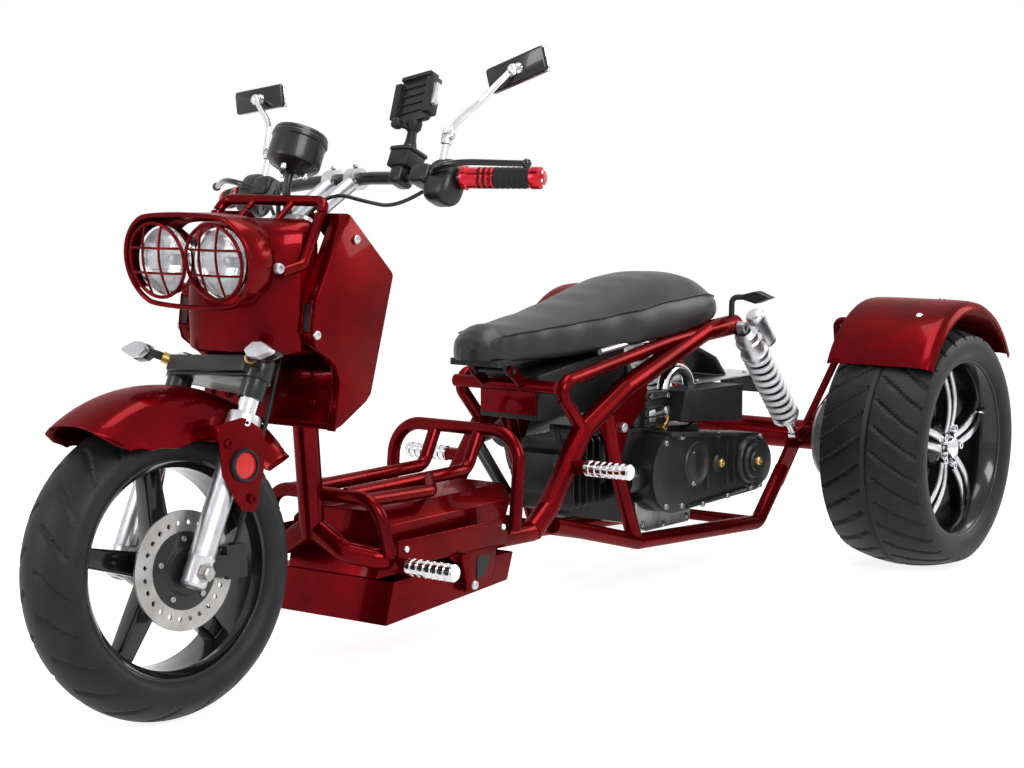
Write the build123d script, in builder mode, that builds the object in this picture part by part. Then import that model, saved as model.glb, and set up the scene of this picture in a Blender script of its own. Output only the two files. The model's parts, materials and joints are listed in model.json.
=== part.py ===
from build123d import *
import os
from math import cos, radians, sin, sqrt, tan

os.makedirs("parts", exist_ok=True)

# A motor trike: one steered wheel in front, two driven wheels behind, a tube frame with a low floor.
# X runs forward, Y to the left, Z up. The floor is at Z = 0, the origin under the middle of the whole.

# Driving dimensions, lengths in millimetres and angles in degrees
wheelbase = 1860.0
frame_half = 120.0
seat_top = 640.0
front_tyre_r = 243.4
front_tyre_width = 130.0
front_tyre_section = 63.9
front_bead_r = front_tyre_r - front_tyre_section
rear_tyre_r = 260.4
rear_tyre_width = 237.0
rear_tyre_inside = 295.0
rear_tyre_section = 69.4
rear_lip_r = rear_tyre_r - rear_tyre_section
fork_rake = 26.0
steer_angle = -8.1
fork_offset = 50.0
leg_room = 32.0
leg_half = front_tyre_width / 2 + leg_room
slider_r = 20.0
stanchion_r = 16.5
stem_r = 15.0
main_tube_r = 21.0
rail_tube_r = 19.0
seat_tube_r = 13.0
rack_tube_r = 12.0
cradle_tube_r = 16.0
panel = 4.0
running = 0.05
clear = 6.0
overrun = 60.0

# Places on the frame: a share of the wheelbase from its middle, of the frame's half width, of the seat's height
x_mid = (rear_tyre_r - front_tyre_r) / 2
front_x = x_mid + wheelbase / 2
rear_x = x_mid - wheelbase / 2


def spot(x_share, y_share, z_share):
    """A place on the frame from its three shares."""
    return (x_mid + x_share * wheelbase, y_share * frame_half, z_share * seat_top)


def spots(table, side=1):
    """A row of places, on the left side or mirrored to the right."""
    return [spot(x_share, side * y_share, z_share) for x_share, y_share, z_share in table]


def rod(points, bend, r, plane=Plane.XY):
    """A round bar of radius r along straight runs joined by tangent arcs of radius bend."""
    with BuildPart() as run:
        with BuildLine(plane) as path:
            if len(points) == 2:
                Line(*points)
            else:
                FilletPolyline(*points, radius=bend)
        with BuildSketch(Plane(origin=path.line @ 0, z_dir=path.line % 0)):
            Circle(r)
        sweep()
    return run.part


def both(table, bend, r):
    """The left and right bars of a mirrored pair."""
    return [rod(spots(table, side), bend, r) for side in (1, -1)]


def link(ends, r, half, y=0.0, plane=Plane.XZ):
    """A plate between two round ends, as thick as half each way from y."""
    with BuildPart() as plate:
        with BuildSketch(plane.offset(-y)):
            with Locations(*ends):
                Circle(r)
            make_hull()
        extrude(amount=half, both=True)
    return plate.part


def slab(table, half, y=0.0):
    """A plate or block: a side outline of frame places, as thick as half each way from y."""
    with BuildPart() as block:
        with BuildSketch(Plane.XZ.offset(-y)):
            with BuildLine():
                Polyline(*[(spot(x_share, 0, z_share)[0], z_share * seat_top) for x_share, z_share in table],
                         close=True)
            make_face()
        extrude(amount=half, both=True)
    return block.part


# The steered parts are drawn on the fork's own plane: Z up the steering axis, X square to it and forward,
# its origin on the axis nearest to the front axle. The turn of the steering at rest is in this plane.
axis_dir = Vector(-sin(radians(fork_rake)), 0, cos(radians(fork_rake)))
square_dir = Vector(cos(radians(fork_rake)), 0, sin(radians(fork_rake)))
axis_foot = Vector(front_x, 0, front_tyre_r) - square_dir * fork_offset
turned_dir = square_dir.rotate(Axis((0, 0, 0), axis_dir), steer_angle)
fork = Plane(origin=axis_foot, x_dir=turned_dir, z_dir=axis_dir)
head = Plane(origin=axis_foot, x_dir=square_dir, z_dir=axis_dir)
front_hub = fork.from_local_coords((fork_offset, 0, 0))
front_section = Plane(origin=front_hub, x_dir=fork.y_dir, z_dir=fork.x_dir)
front_face = Plane(origin=front_hub, x_dir=fork.x_dir, z_dir=fork.y_dir)
rear_section = Plane(origin=(rear_x, 0, rear_tyre_r), x_dir=(0, 1, 0), z_dir=(1, 0, 0))
rear_face = Plane(origin=(rear_x, 0, rear_tyre_r), x_dir=(1, 0, 0), z_dir=(0, 1, 0))

# Heights along the steering axis
crown_low = 318.0
crown_tall = 34.0
crown_high = crown_low + crown_tall
head_low = crown_high + clear
head_high = 560.0
stem_high = 625.0

# Neck: the head tube around the steering stem, and the down tube to the floor
head_tube_r = 27.0
down_tube_r = 22.0
neck_bend = 90.0
neck_join = 442.9
neck_back = 19.6
neck_shares = [(0.316, 0, 0.72), (0.306, 0, 0.375)]
with BuildPart() as neck_tube:
    with BuildSketch(head.offset(head_low)):
        Circle(head_tube_r)
    extrude(amount=head_high - head_low)
    add(rod([tuple(head.from_local_coords((-neck_back, 0, neck_join)))] + spots(neck_shares), neck_bend, down_tube_r))
    with BuildSketch(head.offset(head_low - overrun)):
        Circle(stem_r + running)
    extrude(amount=head_high - head_low + 2 * overrun, mode=Mode.SUBTRACT)
neck_tube.part.label = "neck_tube"
export_step(neck_tube.part, "parts/neck_tube.step")

# Floor rails: from the foot of the down tube outwards, then back along both sides
rail_bend = 55.0
rail_shares = [(0.306, 0.05, 0.40), (0.303, 0.55, 0.345), (0.283, 1, 0.322), (0.05, 1, 0.298)]
with BuildPart() as floor_rails:
    add(both(rail_shares, rail_bend / 2, rail_tube_r))
    add(neck_tube.part, mode=Mode.SUBTRACT)
floor_rails.part.label = "floor_rails"
export_step(floor_rails.part, "parts/floor_rails.step")

# Main tubes: from the rails' rear ends up and back to the top mounts of the shock absorbers
main_bend = 60.0
main_shares = [(0.05, 1, 0.298), (0.022, 1, 0.352), (-0.04, 1, 0.567), (-0.117, 1, 0.67),
               (-0.28, 1, 0.812), (-0.347, 1, 0.822)]
with BuildPart() as main_tubes:
    add(both(main_shares, main_bend / 2, main_tube_r))
    add(floor_rails.part, mode=Mode.SUBTRACT)
main_tubes.part.label = "main_tubes"
export_step(main_tubes.part, "parts/main_tubes.step")

# Seat rails: a leg up from each main tube, a bend and a run back to it, a crossbar and the hinge's tabs
seat_bend = 45.0
seat_rail_shares = [(-0.040, 1, 0.567), (0.008, 1, 0.713), (-0.20, 1, 0.793), (-0.27, 1, 0.812)]
cross_shares = [(0.006, 1, 0.705), (0.006, -1, 0.705)]
hinge_shares = (0.028, 0, 0.752)
hinge_pin_r = 5.0
hinge_tab_r = 11.0
hinge_tab_half = 3.0
hinge_half = 45.0
hinge_x, _, hinge_z = spot(*hinge_shares)
cross_x, _, cross_z = spot(*cross_shares[0])
with BuildPart() as seat_rails:
    add(both(seat_rail_shares, seat_bend / 2, seat_tube_r))
    add(rod(spots(cross_shares), 0, rack_tube_r))
    for side in (1, -1):
        add(link([(cross_x, cross_z), (hinge_x, hinge_z)], hinge_tab_r, hinge_tab_half, side * hinge_half))
    with BuildSketch(Plane.XZ):
        with Locations((hinge_x, hinge_z)):
            Circle(hinge_pin_r + running)
    extrude(amount=frame_half, both=True, mode=Mode.SUBTRACT)
    add(main_tubes.part, mode=Mode.SUBTRACT)
seat_rails.part.label = "seat_rails"
export_step(seat_rails.part, "parts/seat_rails.step")

# Engine cradle: a lower loop on each side from the main tube's foot to the axle carrier, posts with a gusset
# plate under the main tube, and cross tubes
cradle_bend = 60.0
cradle_shares = [(0.012, 1, 0.300), (-0.145, 1, 0.182), (-0.405, 1, 0.135), (-0.463, 1, 0.30)]
post_shares = [(-0.085, 1, 0.60), (-0.100, 1, 0.45), (-0.138, 1, 0.205)]
cradle_cross_shares = [(-0.145, 1, 0.186), (-0.145, -1, 0.186)]
cradle_back_shares = [(-0.395, 1, 0.14), (-0.395, -1, 0.14)]
gusset_shares = [(-0.062, 0.61), (-0.165, 0.705), (-0.156, 0.60), (-0.125, 0.54), (-0.111, 0.45), (-0.098, 0.45)]
with BuildPart() as engine_cradle:
    add(both(cradle_shares, cradle_bend / 2, cradle_tube_r))
    add(both(post_shares, cradle_bend / 2, cradle_tube_r))
    for side in (1, -1):
        add(slab(gusset_shares, panel / 2, side * frame_half))
    for table in (cradle_cross_shares, cradle_back_shares):
        add(rod(spots(table), 0, rack_tube_r))
    add([main_tubes.part, seat_rails.part, floor_rails.part], mode=Mode.SUBTRACT)
engine_cradle.part.label = "engine_cradle"
export_step(engine_cradle.part, "parts/engine_cradle.step")

# Floor box between the rails: a sheet box with sloping shoulders, standing on its rails
box_wall = 3.0
box_gap = 0.3
box_half = frame_half - rail_tube_r - box_gap
box_shares = [(0.292, 0.150), (0.105, 0.185), (0.065, 0.44), (0.270, 0.44), (0.281, 0.245)]
box_foot_shares = [(0.292, 0.150), (0.105, 0.185), (0.095, 0.263), (0.2805, 0.263), (0.281, 0.245)]
shoulder = 26.0
with BuildPart() as floor_box:
    add(slab(box_shares, box_half))
    add(slab(box_foot_shares, frame_half + rail_tube_r))
    tops = floor_box.faces().sort_by(Axis.Z)[-1].edges().filter_by(Axis.X)
    chamfer(tops, length=shoulder)
floor_box.part.label = "floor_box"
export_step(floor_box.part, "parts/floor_box.step")

# Floor rack: a hoop across behind, a hoop across in front and bars along between them
rack_bend = 60.0
hoop_half_share = 1.22
hoop_shares = [(0.098, hoop_half_share, 0.325), (0.088, hoop_half_share, 0.602),
               (0.088, -hoop_half_share, 0.602), (0.098, -hoop_half_share, 0.325)]
front_hoop_shares = [(0.283, 1.12, 0.335), (0.291, 1.0, 0.485), (0.291, -1.0, 0.485), (0.283, -1.12, 0.335)]
bar_shares = [(0.088, 0.42, 0.595), (0.108, 0.42, 0.490), (0.291, 0.42, 0.489)]
branch_shares = [(0.170, 0.42, 0.489), (0.196, 0.80, 0.470), (0.291, 0.80, 0.480)]
with BuildPart() as floor_rack:
    add(rod(spots(hoop_shares), rack_bend, rack_tube_r))
    add(rod(spots(front_hoop_shares), rack_bend * 0.8, rack_tube_r))
    add(both(bar_shares, rack_bend / 2, rack_tube_r))
    add(both(branch_shares, rack_bend / 3, rack_tube_r))
    add([floor_rails.part, floor_box.part, neck_tube.part], mode=Mode.SUBTRACT)
floor_rack.part.label = "floor_rack"
export_step(floor_rack.part, "parts/floor_rack.step")

# Side plates over the rails, bare
plate_gap = 0.3
plate_shares = [(0.276, 0.372), (0.107, 0.366), (0.107, 0.296), (0.276, 0.296)]
with BuildPart() as side_plates:
    for side in (1, -1):
        add(slab(plate_shares, panel / 2, side * (frame_half + rail_tube_r + panel / 2 + plate_gap)))
    add(floor_rack.part, mode=Mode.SUBTRACT)
side_plates.part.label = "side_plates"
export_step(side_plates.part, "parts/side_plates.step")

# Step brackets under the side plates
step_shares = [(0.205, 0.2955), (0.125, 0.2955), (0.150, 0.175), (0.172, 0.175)]
with BuildPart() as step_brackets:
    for side in (1, -1):
        add(slab(step_shares, panel / 2, side * (frame_half + rail_tube_r + panel / 2 + plate_gap)))
step_brackets.part.label = "step_brackets"
export_step(step_brackets.part, "parts/step_brackets.step")

# Footpegs: ribbed barrels on red mounts, at the rails' front and on the main tubes
peg_r = 15.0
peg_length = 100.0
peg_rib = 2.0
peg_ribs = 7
mount_half = 11.0
mount_length = 26.0
peg_places = {"front_footpegs": (0.276, 0.308), "rear_footpegs": (-0.012, 0.468)}
peg_out = frame_half + rail_tube_r


def pegs(place_shares):
    """A pair of ribbed pegs, left and right."""
    x, _, z = spot(place_shares[0], 0, place_shares[1])
    start = peg_out + mount_length
    with BuildPart() as pair:
        for side in (1, -1):
            with BuildSketch(Plane.XZ.offset(-side * start)):
                with Locations((x, z)):
                    Circle(peg_r - peg_rib)
            extrude(amount=-side * peg_length)
            for rib in range(peg_ribs):
                y = start + peg_length * (rib + 0.5) / peg_ribs
                with BuildSketch(Plane.XZ.offset(-side * y)):
                    with Locations((x, z)):
                        Circle(peg_r)
                extrude(amount=peg_length / peg_ribs * 0.3, both=True)
    return pair.part


with BuildPart() as front_footpegs:
    add(pegs(peg_places["front_footpegs"]))
front_footpegs.part.label = "front_footpegs"
export_step(front_footpegs.part, "parts/front_footpegs.step")
with BuildPart() as rear_footpegs:
    add(pegs(peg_places["rear_footpegs"]))
rear_footpegs.part.label = "rear_footpegs"
export_step(rear_footpegs.part, "parts/rear_footpegs.step")
with BuildPart() as peg_mounts:
    for place_shares in peg_places.values():
        x, _, z = spot(place_shares[0], 0, place_shares[1])
        for side in (1, -1):
            with BuildSketch(Plane.XZ.offset(-side * frame_half)):
                with Locations((x, z)):
                    Rectangle(2 * mount_half, 2 * mount_half)
            extrude(amount=-side * (rail_tube_r + mount_length))
    add([floor_rails.part, main_tubes.part, floor_rack.part, side_plates.part, seat_rails.part,
         engine_cradle.part], mode=Mode.SUBTRACT)
peg_mounts.part.label = "peg_mounts"
export_step(peg_mounts.part, "parts/peg_mounts.step")

# Leg shield: a sheet shell with deep side walls, open in front and below
shield_half = 150.0
head_room_r = 64.0
shield_shares = [(0.366, 1.255), (0.343, 1.235), (0.287, 1.085), (0.316, 0.785), (0.366, 0.69),
                 (0.366, 0.82), (0.405, 0.94), (0.392, 1.07)]
shield_inner_shares = [(0.354, 1.248), (0.426, 1.248), (0.465, 0.94), (0.426, 0.60), (0.330, 0.60), (0.330, 0.76),
                       (0.360, 0.80)]
with BuildPart() as leg_shield:
    add(slab(shield_shares, shield_half))
    with BuildSketch(Plane.XZ):
        with BuildLine():
            Polyline(*[(spot(x_share, 0, 0)[0], z_share * seat_top) for x_share, z_share in shield_shares],
                     close=True)
        make_face()
        offset(amount=-panel)
        with BuildLine():
            Polyline(*[(spot(x_share, 0, 0)[0], z_share * seat_top) for x_share, z_share in shield_inner_shares],
                     close=True)
        make_face()
    extrude(amount=shield_half - panel, both=True, mode=Mode.SUBTRACT)
    with BuildSketch(head.offset(head_high - overrun)):
        Circle(head_room_r)
    extrude(amount=4 * overrun, mode=Mode.SUBTRACT)
    add(neck_tube.part, mode=Mode.SUBTRACT)
leg_shield.part.label = "leg_shield"
export_step(leg_shield.part, "parts/leg_shield.step")

# Front cowl: a sheet nose between the leg shield's edges, open behind and below
cowl_half = 118.0
cowl_shares = [(0.372, 1.225), (0.415, 1.205), (0.425, 1.0), (0.414, 0.915), (0.406, 0.90), (0.37, 0.90)]
cowl_inner_shares = [(0.360, 1.219), (0.4128, 1.197), (0.4225, 1.0), (0.410, 0.88), (0.36, 0.88)]
with BuildPart() as front_cowl:
    add(slab(cowl_shares, cowl_half))
    add(slab(cowl_inner_shares, cowl_half - panel), mode=Mode.SUBTRACT)
    with BuildSketch(head.offset(head_high - overrun)):
        Circle(head_room_r)
    extrude(amount=4 * overrun, mode=Mode.SUBTRACT)
    add(leg_shield.part, mode=Mode.SUBTRACT)
front_cowl.part.label = "front_cowl"
export_step(front_cowl.part, "parts/front_cowl.step")

# Headlight: a long rounded housing open below, two lamps side by side and a wire grille over them
lamp_half = 62.0
lamp_r = 58.0
lamp_z_share = 1.132
housing_r = 76.0
housing_wall = 5.0
mouth_share = 0.62
housing_back_share, housing_front_share = 0.4255, 0.461
lamp_boss_r = 12.0
cowl_face_share = 0.4186
housing_back = spot(housing_back_share, 0, 0)[0]
housing_front = spot(housing_front_share, 0, 0)[0]
lamp_boss_long = (housing_back_share - cowl_face_share) * wheelbase + panel / 2
lamp_z = lamp_z_share * seat_top
lamp_depth = 34.0
lamp_face = Plane(origin=(housing_back + panel, 0, lamp_z), x_dir=(0, 1, 0), z_dir=(1, 0, 0))
with BuildPart() as headlight_housing:
    with BuildSketch(lamp_face.offset(-panel)):
        SlotCenterToCenter(2 * lamp_half, 2 * housing_r)
    extrude(amount=housing_front - housing_back)
    with BuildSketch(lamp_face):
        SlotCenterToCenter(2 * lamp_half, 2 * (housing_r - housing_wall))
        with Locations((0, -housing_r)):
            Rectangle(2 * (lamp_half + lamp_r), 2 * housing_r * mouth_share)
    extrude(amount=housing_front - housing_back, mode=Mode.SUBTRACT)
    with BuildSketch(lamp_face.offset(-panel)):
        with GridLocations(2 * lamp_half, 0, 2, 1):
            Circle(lamp_boss_r)
    extrude(amount=-lamp_boss_long)
    add(front_cowl.part, mode=Mode.SUBTRACT)
headlight_housing.part.label = "headlight_housing"
export_step(headlight_housing.part, "parts/headlight_housing.step")
with BuildPart() as headlamps:
    with BuildSketch(lamp_face):
        with GridLocations(2 * lamp_half, 0, 2, 1):
            Circle(lamp_r)
    extrude(amount=lamp_depth)
headlamps.part.label = "headlamps"
export_step(headlamps.part, "parts/headlamps.step")
wire_r = 2.5
wire_step = 36.0
wire_share = 0.99
with BuildPart() as headlight_grille:
    grille_plane = lamp_face.offset(housing_front - housing_back - panel + wire_r)
    with BuildSketch(grille_plane):
        SlotCenterToCenter(2 * lamp_half, 2 * housing_r)
        SlotCenterToCenter(2 * lamp_half, 2 * (housing_r - housing_wall), mode=Mode.SUBTRACT)
        with GridLocations(2 * lamp_half, 0, 2, 1):
            Circle(lamp_r + 2 * wire_r)
            Circle(lamp_r, mode=Mode.SUBTRACT)
        with GridLocations(2 * lamp_half, 0, 2, 1):
            with GridLocations(wire_step, 0, 2, 1):
                Rectangle(2 * wire_r, 2 * lamp_r * wire_share)
            with GridLocations(0, wire_step, 1, 2):
                Rectangle(2 * lamp_r * wire_share, 2 * wire_r)
        Rectangle(2 * wire_r, 2 * housing_r - housing_wall)
    extrude(amount=wire_r, both=True)
headlight_grille.part.label = "headlight_grille"
export_step(headlight_grille.part, "parts/headlight_grille.step")

# Cowl guard: a bent tube over the cowl, with a fence of short bars
guard_bend = 40.0
guard_r = 9.0
guard_shares = [(0.424, 1.09, 1.105), (0.395, 1.09, 1.120), (0.352, 0.92, 1.275), (0.352, -0.92, 1.275),
                (0.395, -1.09, 1.120), (0.424, -1.09, 1.105)]
fence_shares = [(0.352, 0.36, 1.275), (0.385, 0.36, 1.205)]
fence_r = 5.5
with BuildPart() as cowl_guard:
    add(rod(spots(guard_shares), guard_bend / 2, guard_r))
    add(both(fence_shares, 0, fence_r))
    add([front_cowl.part, leg_shield.part, headlight_housing.part], mode=Mode.SUBTRACT)
cowl_guard.part.label = "cowl_guard"
export_step(cowl_guard.part, "parts/cowl_guard.step")

# Box under the seat, and the curved mud plate behind the engine
tool_box_half = 70.0
tool_box_shares = [(-0.0006, 0.735), (-0.0006, 0.60), (-0.10, 0.60), (-0.16, 0.70), (-0.16, 0.79)]
mud_plate_half = 44.0
mud_plate_shares = [(-0.292, 0.76), (-0.336, 0.745), (-0.378, 0.70), (-0.402, 0.6325), (-0.395, 0.6325),
                    (-0.371, 0.693), (-0.332, 0.734), (-0.292, 0.75)]
with BuildPart() as tool_box:
    add(slab(tool_box_shares, tool_box_half))
    add(slab(mud_plate_shares, mud_plate_half))
tool_box.part.label = "tool_box"
export_step(tool_box.part, "parts/tool_box.step")

# Engine: a heavy block with its finned cylinder lying forward, a sump, the starter and the carburettor
engine_half = 88.0
engine_shares = [(-0.14, 0.24), (-0.26, 0.24), (-0.30, 0.33), (-0.30, 0.50), (-0.14, 0.53)]
cylinder_shares = [(-0.145, 0.32), (-0.145, 0.50), (-0.045, 0.48), (-0.045, 0.36)]
cylinder_half = 46.0
fin_thick = 4.0
fin_half = 62.0
fin_count = 6
fin_first_share, fin_step_share = -0.132, 0.0125
fin_low_share, fin_high_share = 0.30, 0.52
sump_shares = [(-0.195, 0.30), (-0.195, 0.215), (-0.225, 0.185), (-0.275, 0.185), (-0.30, 0.22), (-0.30, 0.34)]
sump_half = 60.0
starter_r = 26.0
starter_out = 17.0
starter_y_share = (engine_half + starter_out) / frame_half
starter_shares = [(-0.126, starter_y_share, 0.375), (-0.175, starter_y_share, 0.375)]
carburettor_r = 22.0
carburettor_shares = [(-0.185, 0.58, 0.555), (-0.245, 0.58, 0.565)]
with BuildPart() as engine_block:
    add(slab(engine_shares, engine_half))
    add(slab(cylinder_shares, cylinder_half))
    add(slab(sump_shares, sump_half))
    for table, r in ((starter_shares, starter_r), (carburettor_shares, carburettor_r)):
        add(rod(spots(table), 0, r))
    for fin in range(fin_count):
        x, _, low_z = spot(fin_first_share + fin * fin_step_share, 0, fin_low_share)
        high_z = fin_high_share * seat_top
        with BuildSketch(Plane.YZ.offset(x)):
            with Locations((0, (low_z + high_z) / 2)):
                RectangleRounded(2 * fin_half, high_z - low_z, fin_half / 4)
        extrude(amount=fin_thick / 2, both=True)
    add(engine_cradle.part, mode=Mode.SUBTRACT)
engine_block.part.label = "engine_block"
export_step(engine_block.part, "parts/engine_block.step")

# Drive cover on the left of the engine: long, round at both ends, with a cup over the rear pulley
cover_depth = 62.0
cover_front_r = 82.0
cover_rear_r = 62.0
cover_front_shares = (-0.195, 0, 0.385)
cover_rear_shares = (-0.368, 0, 0.36)
with BuildPart() as drive_cover:
    with BuildSketch(Plane.XZ.offset(-engine_half)):
        for place_shares, r in ((cover_front_shares, cover_front_r), (cover_rear_shares, cover_rear_r)):
            x, _, z = spot(*place_shares)
            with Locations((x, z)):
                Circle(r)
        make_hull()
    extrude(amount=-cover_depth)
    x, _, z = spot(*cover_rear_shares)
    with BuildSketch(Plane.XZ.offset(-engine_half - cover_depth)):
        with Locations((x, z)):
            Circle(cover_rear_r * 0.72)
    extrude(amount=-cover_depth / 4)
    add([engine_cradle.part, engine_block.part], mode=Mode.SUBTRACT)
drive_cover.part.label = "drive_cover"
export_step(drive_cover.part, "parts/drive_cover.step")

# Air box over the drive cover
air_box_shares = [(-0.225, 0.535), (-0.36, 0.50), (-0.36, 0.62), (-0.235, 0.63)]
with BuildPart() as air_box:
    add(slab(air_box_shares, engine_half * 0.45, engine_half))
    add([drive_cover.part, engine_block.part], mode=Mode.SUBTRACT)
air_box.part.label = "air_box"
export_step(air_box.part, "parts/air_box.step")

# Silencer on the right, with its chrome shield above
silencer_r = 46.0
silencer_y_share = -1.85
silencer_shares = [(-0.155, silencer_y_share, 0.50), (-0.325, silencer_y_share, 0.55)]
header_r = 13.0
header_shares = [(-0.09, -0.3, 0.30), (-0.09, -1.0, 0.30), (-0.10, silencer_y_share, 0.475),
                 (-0.16, silencer_y_share, 0.50)]
with BuildPart() as silencer:
    add(rod(spots(silencer_shares), 0, silencer_r))
    add(rod(spots(header_shares), cradle_bend / 3, header_r))
    add([engine_cradle.part, main_tubes.part, engine_block.part], mode=Mode.SUBTRACT)
silencer.part.label = "silencer"
export_step(silencer.part, "parts/silencer.step")

# Axle carrier: a red tube across, with a bearing on each side and lugs for the shock absorbers and cradle
axle_r = 17.0
carrier_r = 32.0
carrier_half = 172.0
lug_half = 5.0
lug_y = 165.0
cradle_lug_shares = (-0.455, 0, 0.27)
shock_top_shares = (-0.337, 0, 0.815)
shock_foot_shares = (-0.462, 0, 0.425)
shock_foot_x, _, shock_foot_z = spot(*shock_foot_shares)
lug_r = 15.0
with BuildPart() as axle_carrier:
    with BuildSketch(rear_face):
        Circle(carrier_r)
    extrude(amount=carrier_half, both=True)
    for side in (1, -1):
        add(link([(rear_x, rear_tyre_r), (shock_foot_x, shock_foot_z)], lug_r, lug_half, side * lug_y))
        add(link([(rear_x, rear_tyre_r), spot(*cradle_lug_shares)[::2]], lug_r * 1.4, lug_half, side * frame_half))
    with BuildSketch(rear_face):
        Circle(axle_r + running)
    extrude(amount=carrier_half + overrun, both=True, mode=Mode.SUBTRACT)
    add([engine_cradle.part, engine_block.part, drive_cover.part], mode=Mode.SUBTRACT)
axle_carrier.part.label = "axle_carrier"
export_step(axle_carrier.part, "parts/axle_carrier.step")

# Rear shock absorbers: body, rod and gas bottle, and the coil spring around the body
shock_r = 17.0
shock_rod_r = 7.0
shock_eye_r = 13.0
spring_r = 26.0
spring_wire_r = 4.5
spring_turns = 9
bottle_r = 20.0
bottle_length = 88.0
bottle_back = 52.0
shock_top_x, _, shock_top_z = spot(*shock_top_shares)
shock_foot = Vector(shock_foot_x, 0, shock_foot_z)
shock_top = Vector(shock_top_x, 0, shock_top_z)
shock_dir = (shock_top - shock_foot).normalized()
shock_long = (shock_top - shock_foot).length
shock_across = shock_dir.cross(Vector(0, 1, 0))
eye_gap = 0.3
eye_half = 9.0
sleeve_r = spring_r - spring_wire_r - eye_gap


def shock_plane(side):
    """The plane square to a shock absorber at its lower eye."""
    return Plane(origin=shock_foot + Vector(0, side * shock_side, 0), x_dir=(0, 1, 0), z_dir=shock_dir)


shock_side = lug_y - lug_half - eye_gap - eye_half
body_half_share, body_high_share = 0.50, 0.98
spring_low_share, spring_high_share = 0.20, 0.76
ring_share, cap_share = 0.03, 0.15
bottle_low_share, bridge_share = 0.70, 0.86
with BuildPart() as shock_bodies:
    for side in (1, -1):
        foot = shock_plane(side)
        with BuildSketch(foot.offset(shock_eye_r / 2)):
            Circle(shock_rod_r)
        extrude(amount=shock_long * body_high_share - shock_eye_r / 2)
        with BuildSketch(foot.offset(shock_long * body_half_share)):
            Circle(shock_r)
        extrude(amount=shock_long * (body_high_share - body_half_share))
        for low_share, tall_share, r in ((spring_low_share - ring_share, ring_share, spring_r + spring_wire_r),
                                         (spring_high_share, cap_share, spring_r + spring_wire_r),
                                         (spring_low_share, spring_high_share - spring_low_share, sleeve_r)):
            with BuildSketch(foot.offset(shock_long * low_share)):
                Circle(r)
            extrude(amount=shock_long * tall_share)
        for end, at_z in ((shock_foot, 0), (shock_top, shock_long)):
            with BuildSketch(Plane.XZ.offset(-side * shock_side)):
                with Locations((end.X, end.Z)):
                    Circle(shock_eye_r)
            extrude(amount=eye_half, both=True)
        bottle = Plane(origin=foot.origin + shock_dir * (shock_long * bottle_low_share) + shock_across * bottle_back,
                       x_dir=(0, 1, 0), z_dir=shock_dir)
        with BuildSketch(bottle):
            Circle(bottle_r)
        extrude(amount=bottle_length)
        with BuildSketch(Plane(origin=foot.origin + shock_dir * (shock_long * bridge_share), x_dir=(0, 1, 0),
                               z_dir=shock_across)):
            Rectangle(bottle_r, bottle_r)
        extrude(amount=bottle_back)
    add([main_tubes.part, axle_carrier.part], mode=Mode.SUBTRACT)
shock_bodies.part.label = "shock_bodies"
export_step(shock_bodies.part, "parts/shock_bodies.step")
with BuildPart() as shock_springs:
    for side in (1, -1):
        foot = shock_plane(side)
        spring_long = shock_long * (spring_high_share - spring_low_share)
        for turn in range(spring_turns):
            with BuildSketch(Plane(origin=foot.origin + shock_dir * (shock_long * spring_low_share),
                                   x_dir=shock_across, z_dir=Vector(0, 1, 0))):
                with Locations((spring_r, spring_long * (turn + 0.5) / spring_turns)):
                    Circle(spring_wire_r)
            revolve(axis=Axis(foot.origin, shock_dir))
shock_springs.part.label = "shock_springs"
export_step(shock_springs.part, "parts/shock_springs.step")

# Rear fenders: curved sheets over the tyres with a turned-down outer lip, on stays from the axle carrier
fender_inset = 22.4
fender_r = rear_tyre_r - fender_inset
fender_rise = 76.0
fender_back = 18.0
fender_width = 232.0
fender_lip = 22.0
fender_front_deg, fender_rear_deg = 28.0, 152.0
fender_centre = (rear_x - fender_back, rear_tyre_r + fender_rise)
stay_r = 8.0
stay_bend = 40.0
stay_points = [(13.0, 149.0, 29.4), (60.0, 250.0, 190.0)]
stay_out, stay_low_y, stay_high_y = 100.0, 265.0, 355.0
stay_gap = 0.3
with BuildPart() as rear_fenders:
    for side in (1, -1):
        outer = rear_tyre_inside + fender_width
        for low_y, high_y, drop in ((rear_tyre_inside - clear, outer, panel), (outer - panel, outer, fender_lip)):
            with BuildSketch(Plane.XZ.offset(-side * low_y)):
                with BuildLine():
                    arc = CenterArc(fender_centre, fender_r, fender_front_deg, fender_rear_deg - fender_front_deg)
                    inner = CenterArc(fender_centre, fender_r - drop, fender_front_deg,
                                      fender_rear_deg - fender_front_deg)
                    Line(arc @ 0, inner @ 0)
                    Line(arc @ 1, inner @ 1)
                make_face()
            extrude(amount=-side * (high_y - low_y))
rear_fenders.part.label = "rear_fenders"
export_step(rear_fenders.part, "parts/rear_fenders.step")
with BuildPart() as fender_stays:
    for side in (1, -1):
        for dx in (-1, 1):
            reach = fender_r - panel - stay_r - stay_gap
            top_z = fender_rise + sqrt(reach ** 2 - (dx * stay_out + fender_back) ** 2)
            points = stay_points + [(stay_out, stay_low_y, top_z), (stay_out, stay_high_y, top_z)]
            add(rod([(rear_x + dx * x, side * y, rear_tyre_r + z) for x, y, z in points], stay_bend / 2, stay_r))
    add([axle_carrier.part, rear_fenders.part], mode=Mode.SUBTRACT)
fender_stays.part.label = "fender_stays"
export_step(fender_stays.part, "parts/fender_stays.step")

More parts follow.
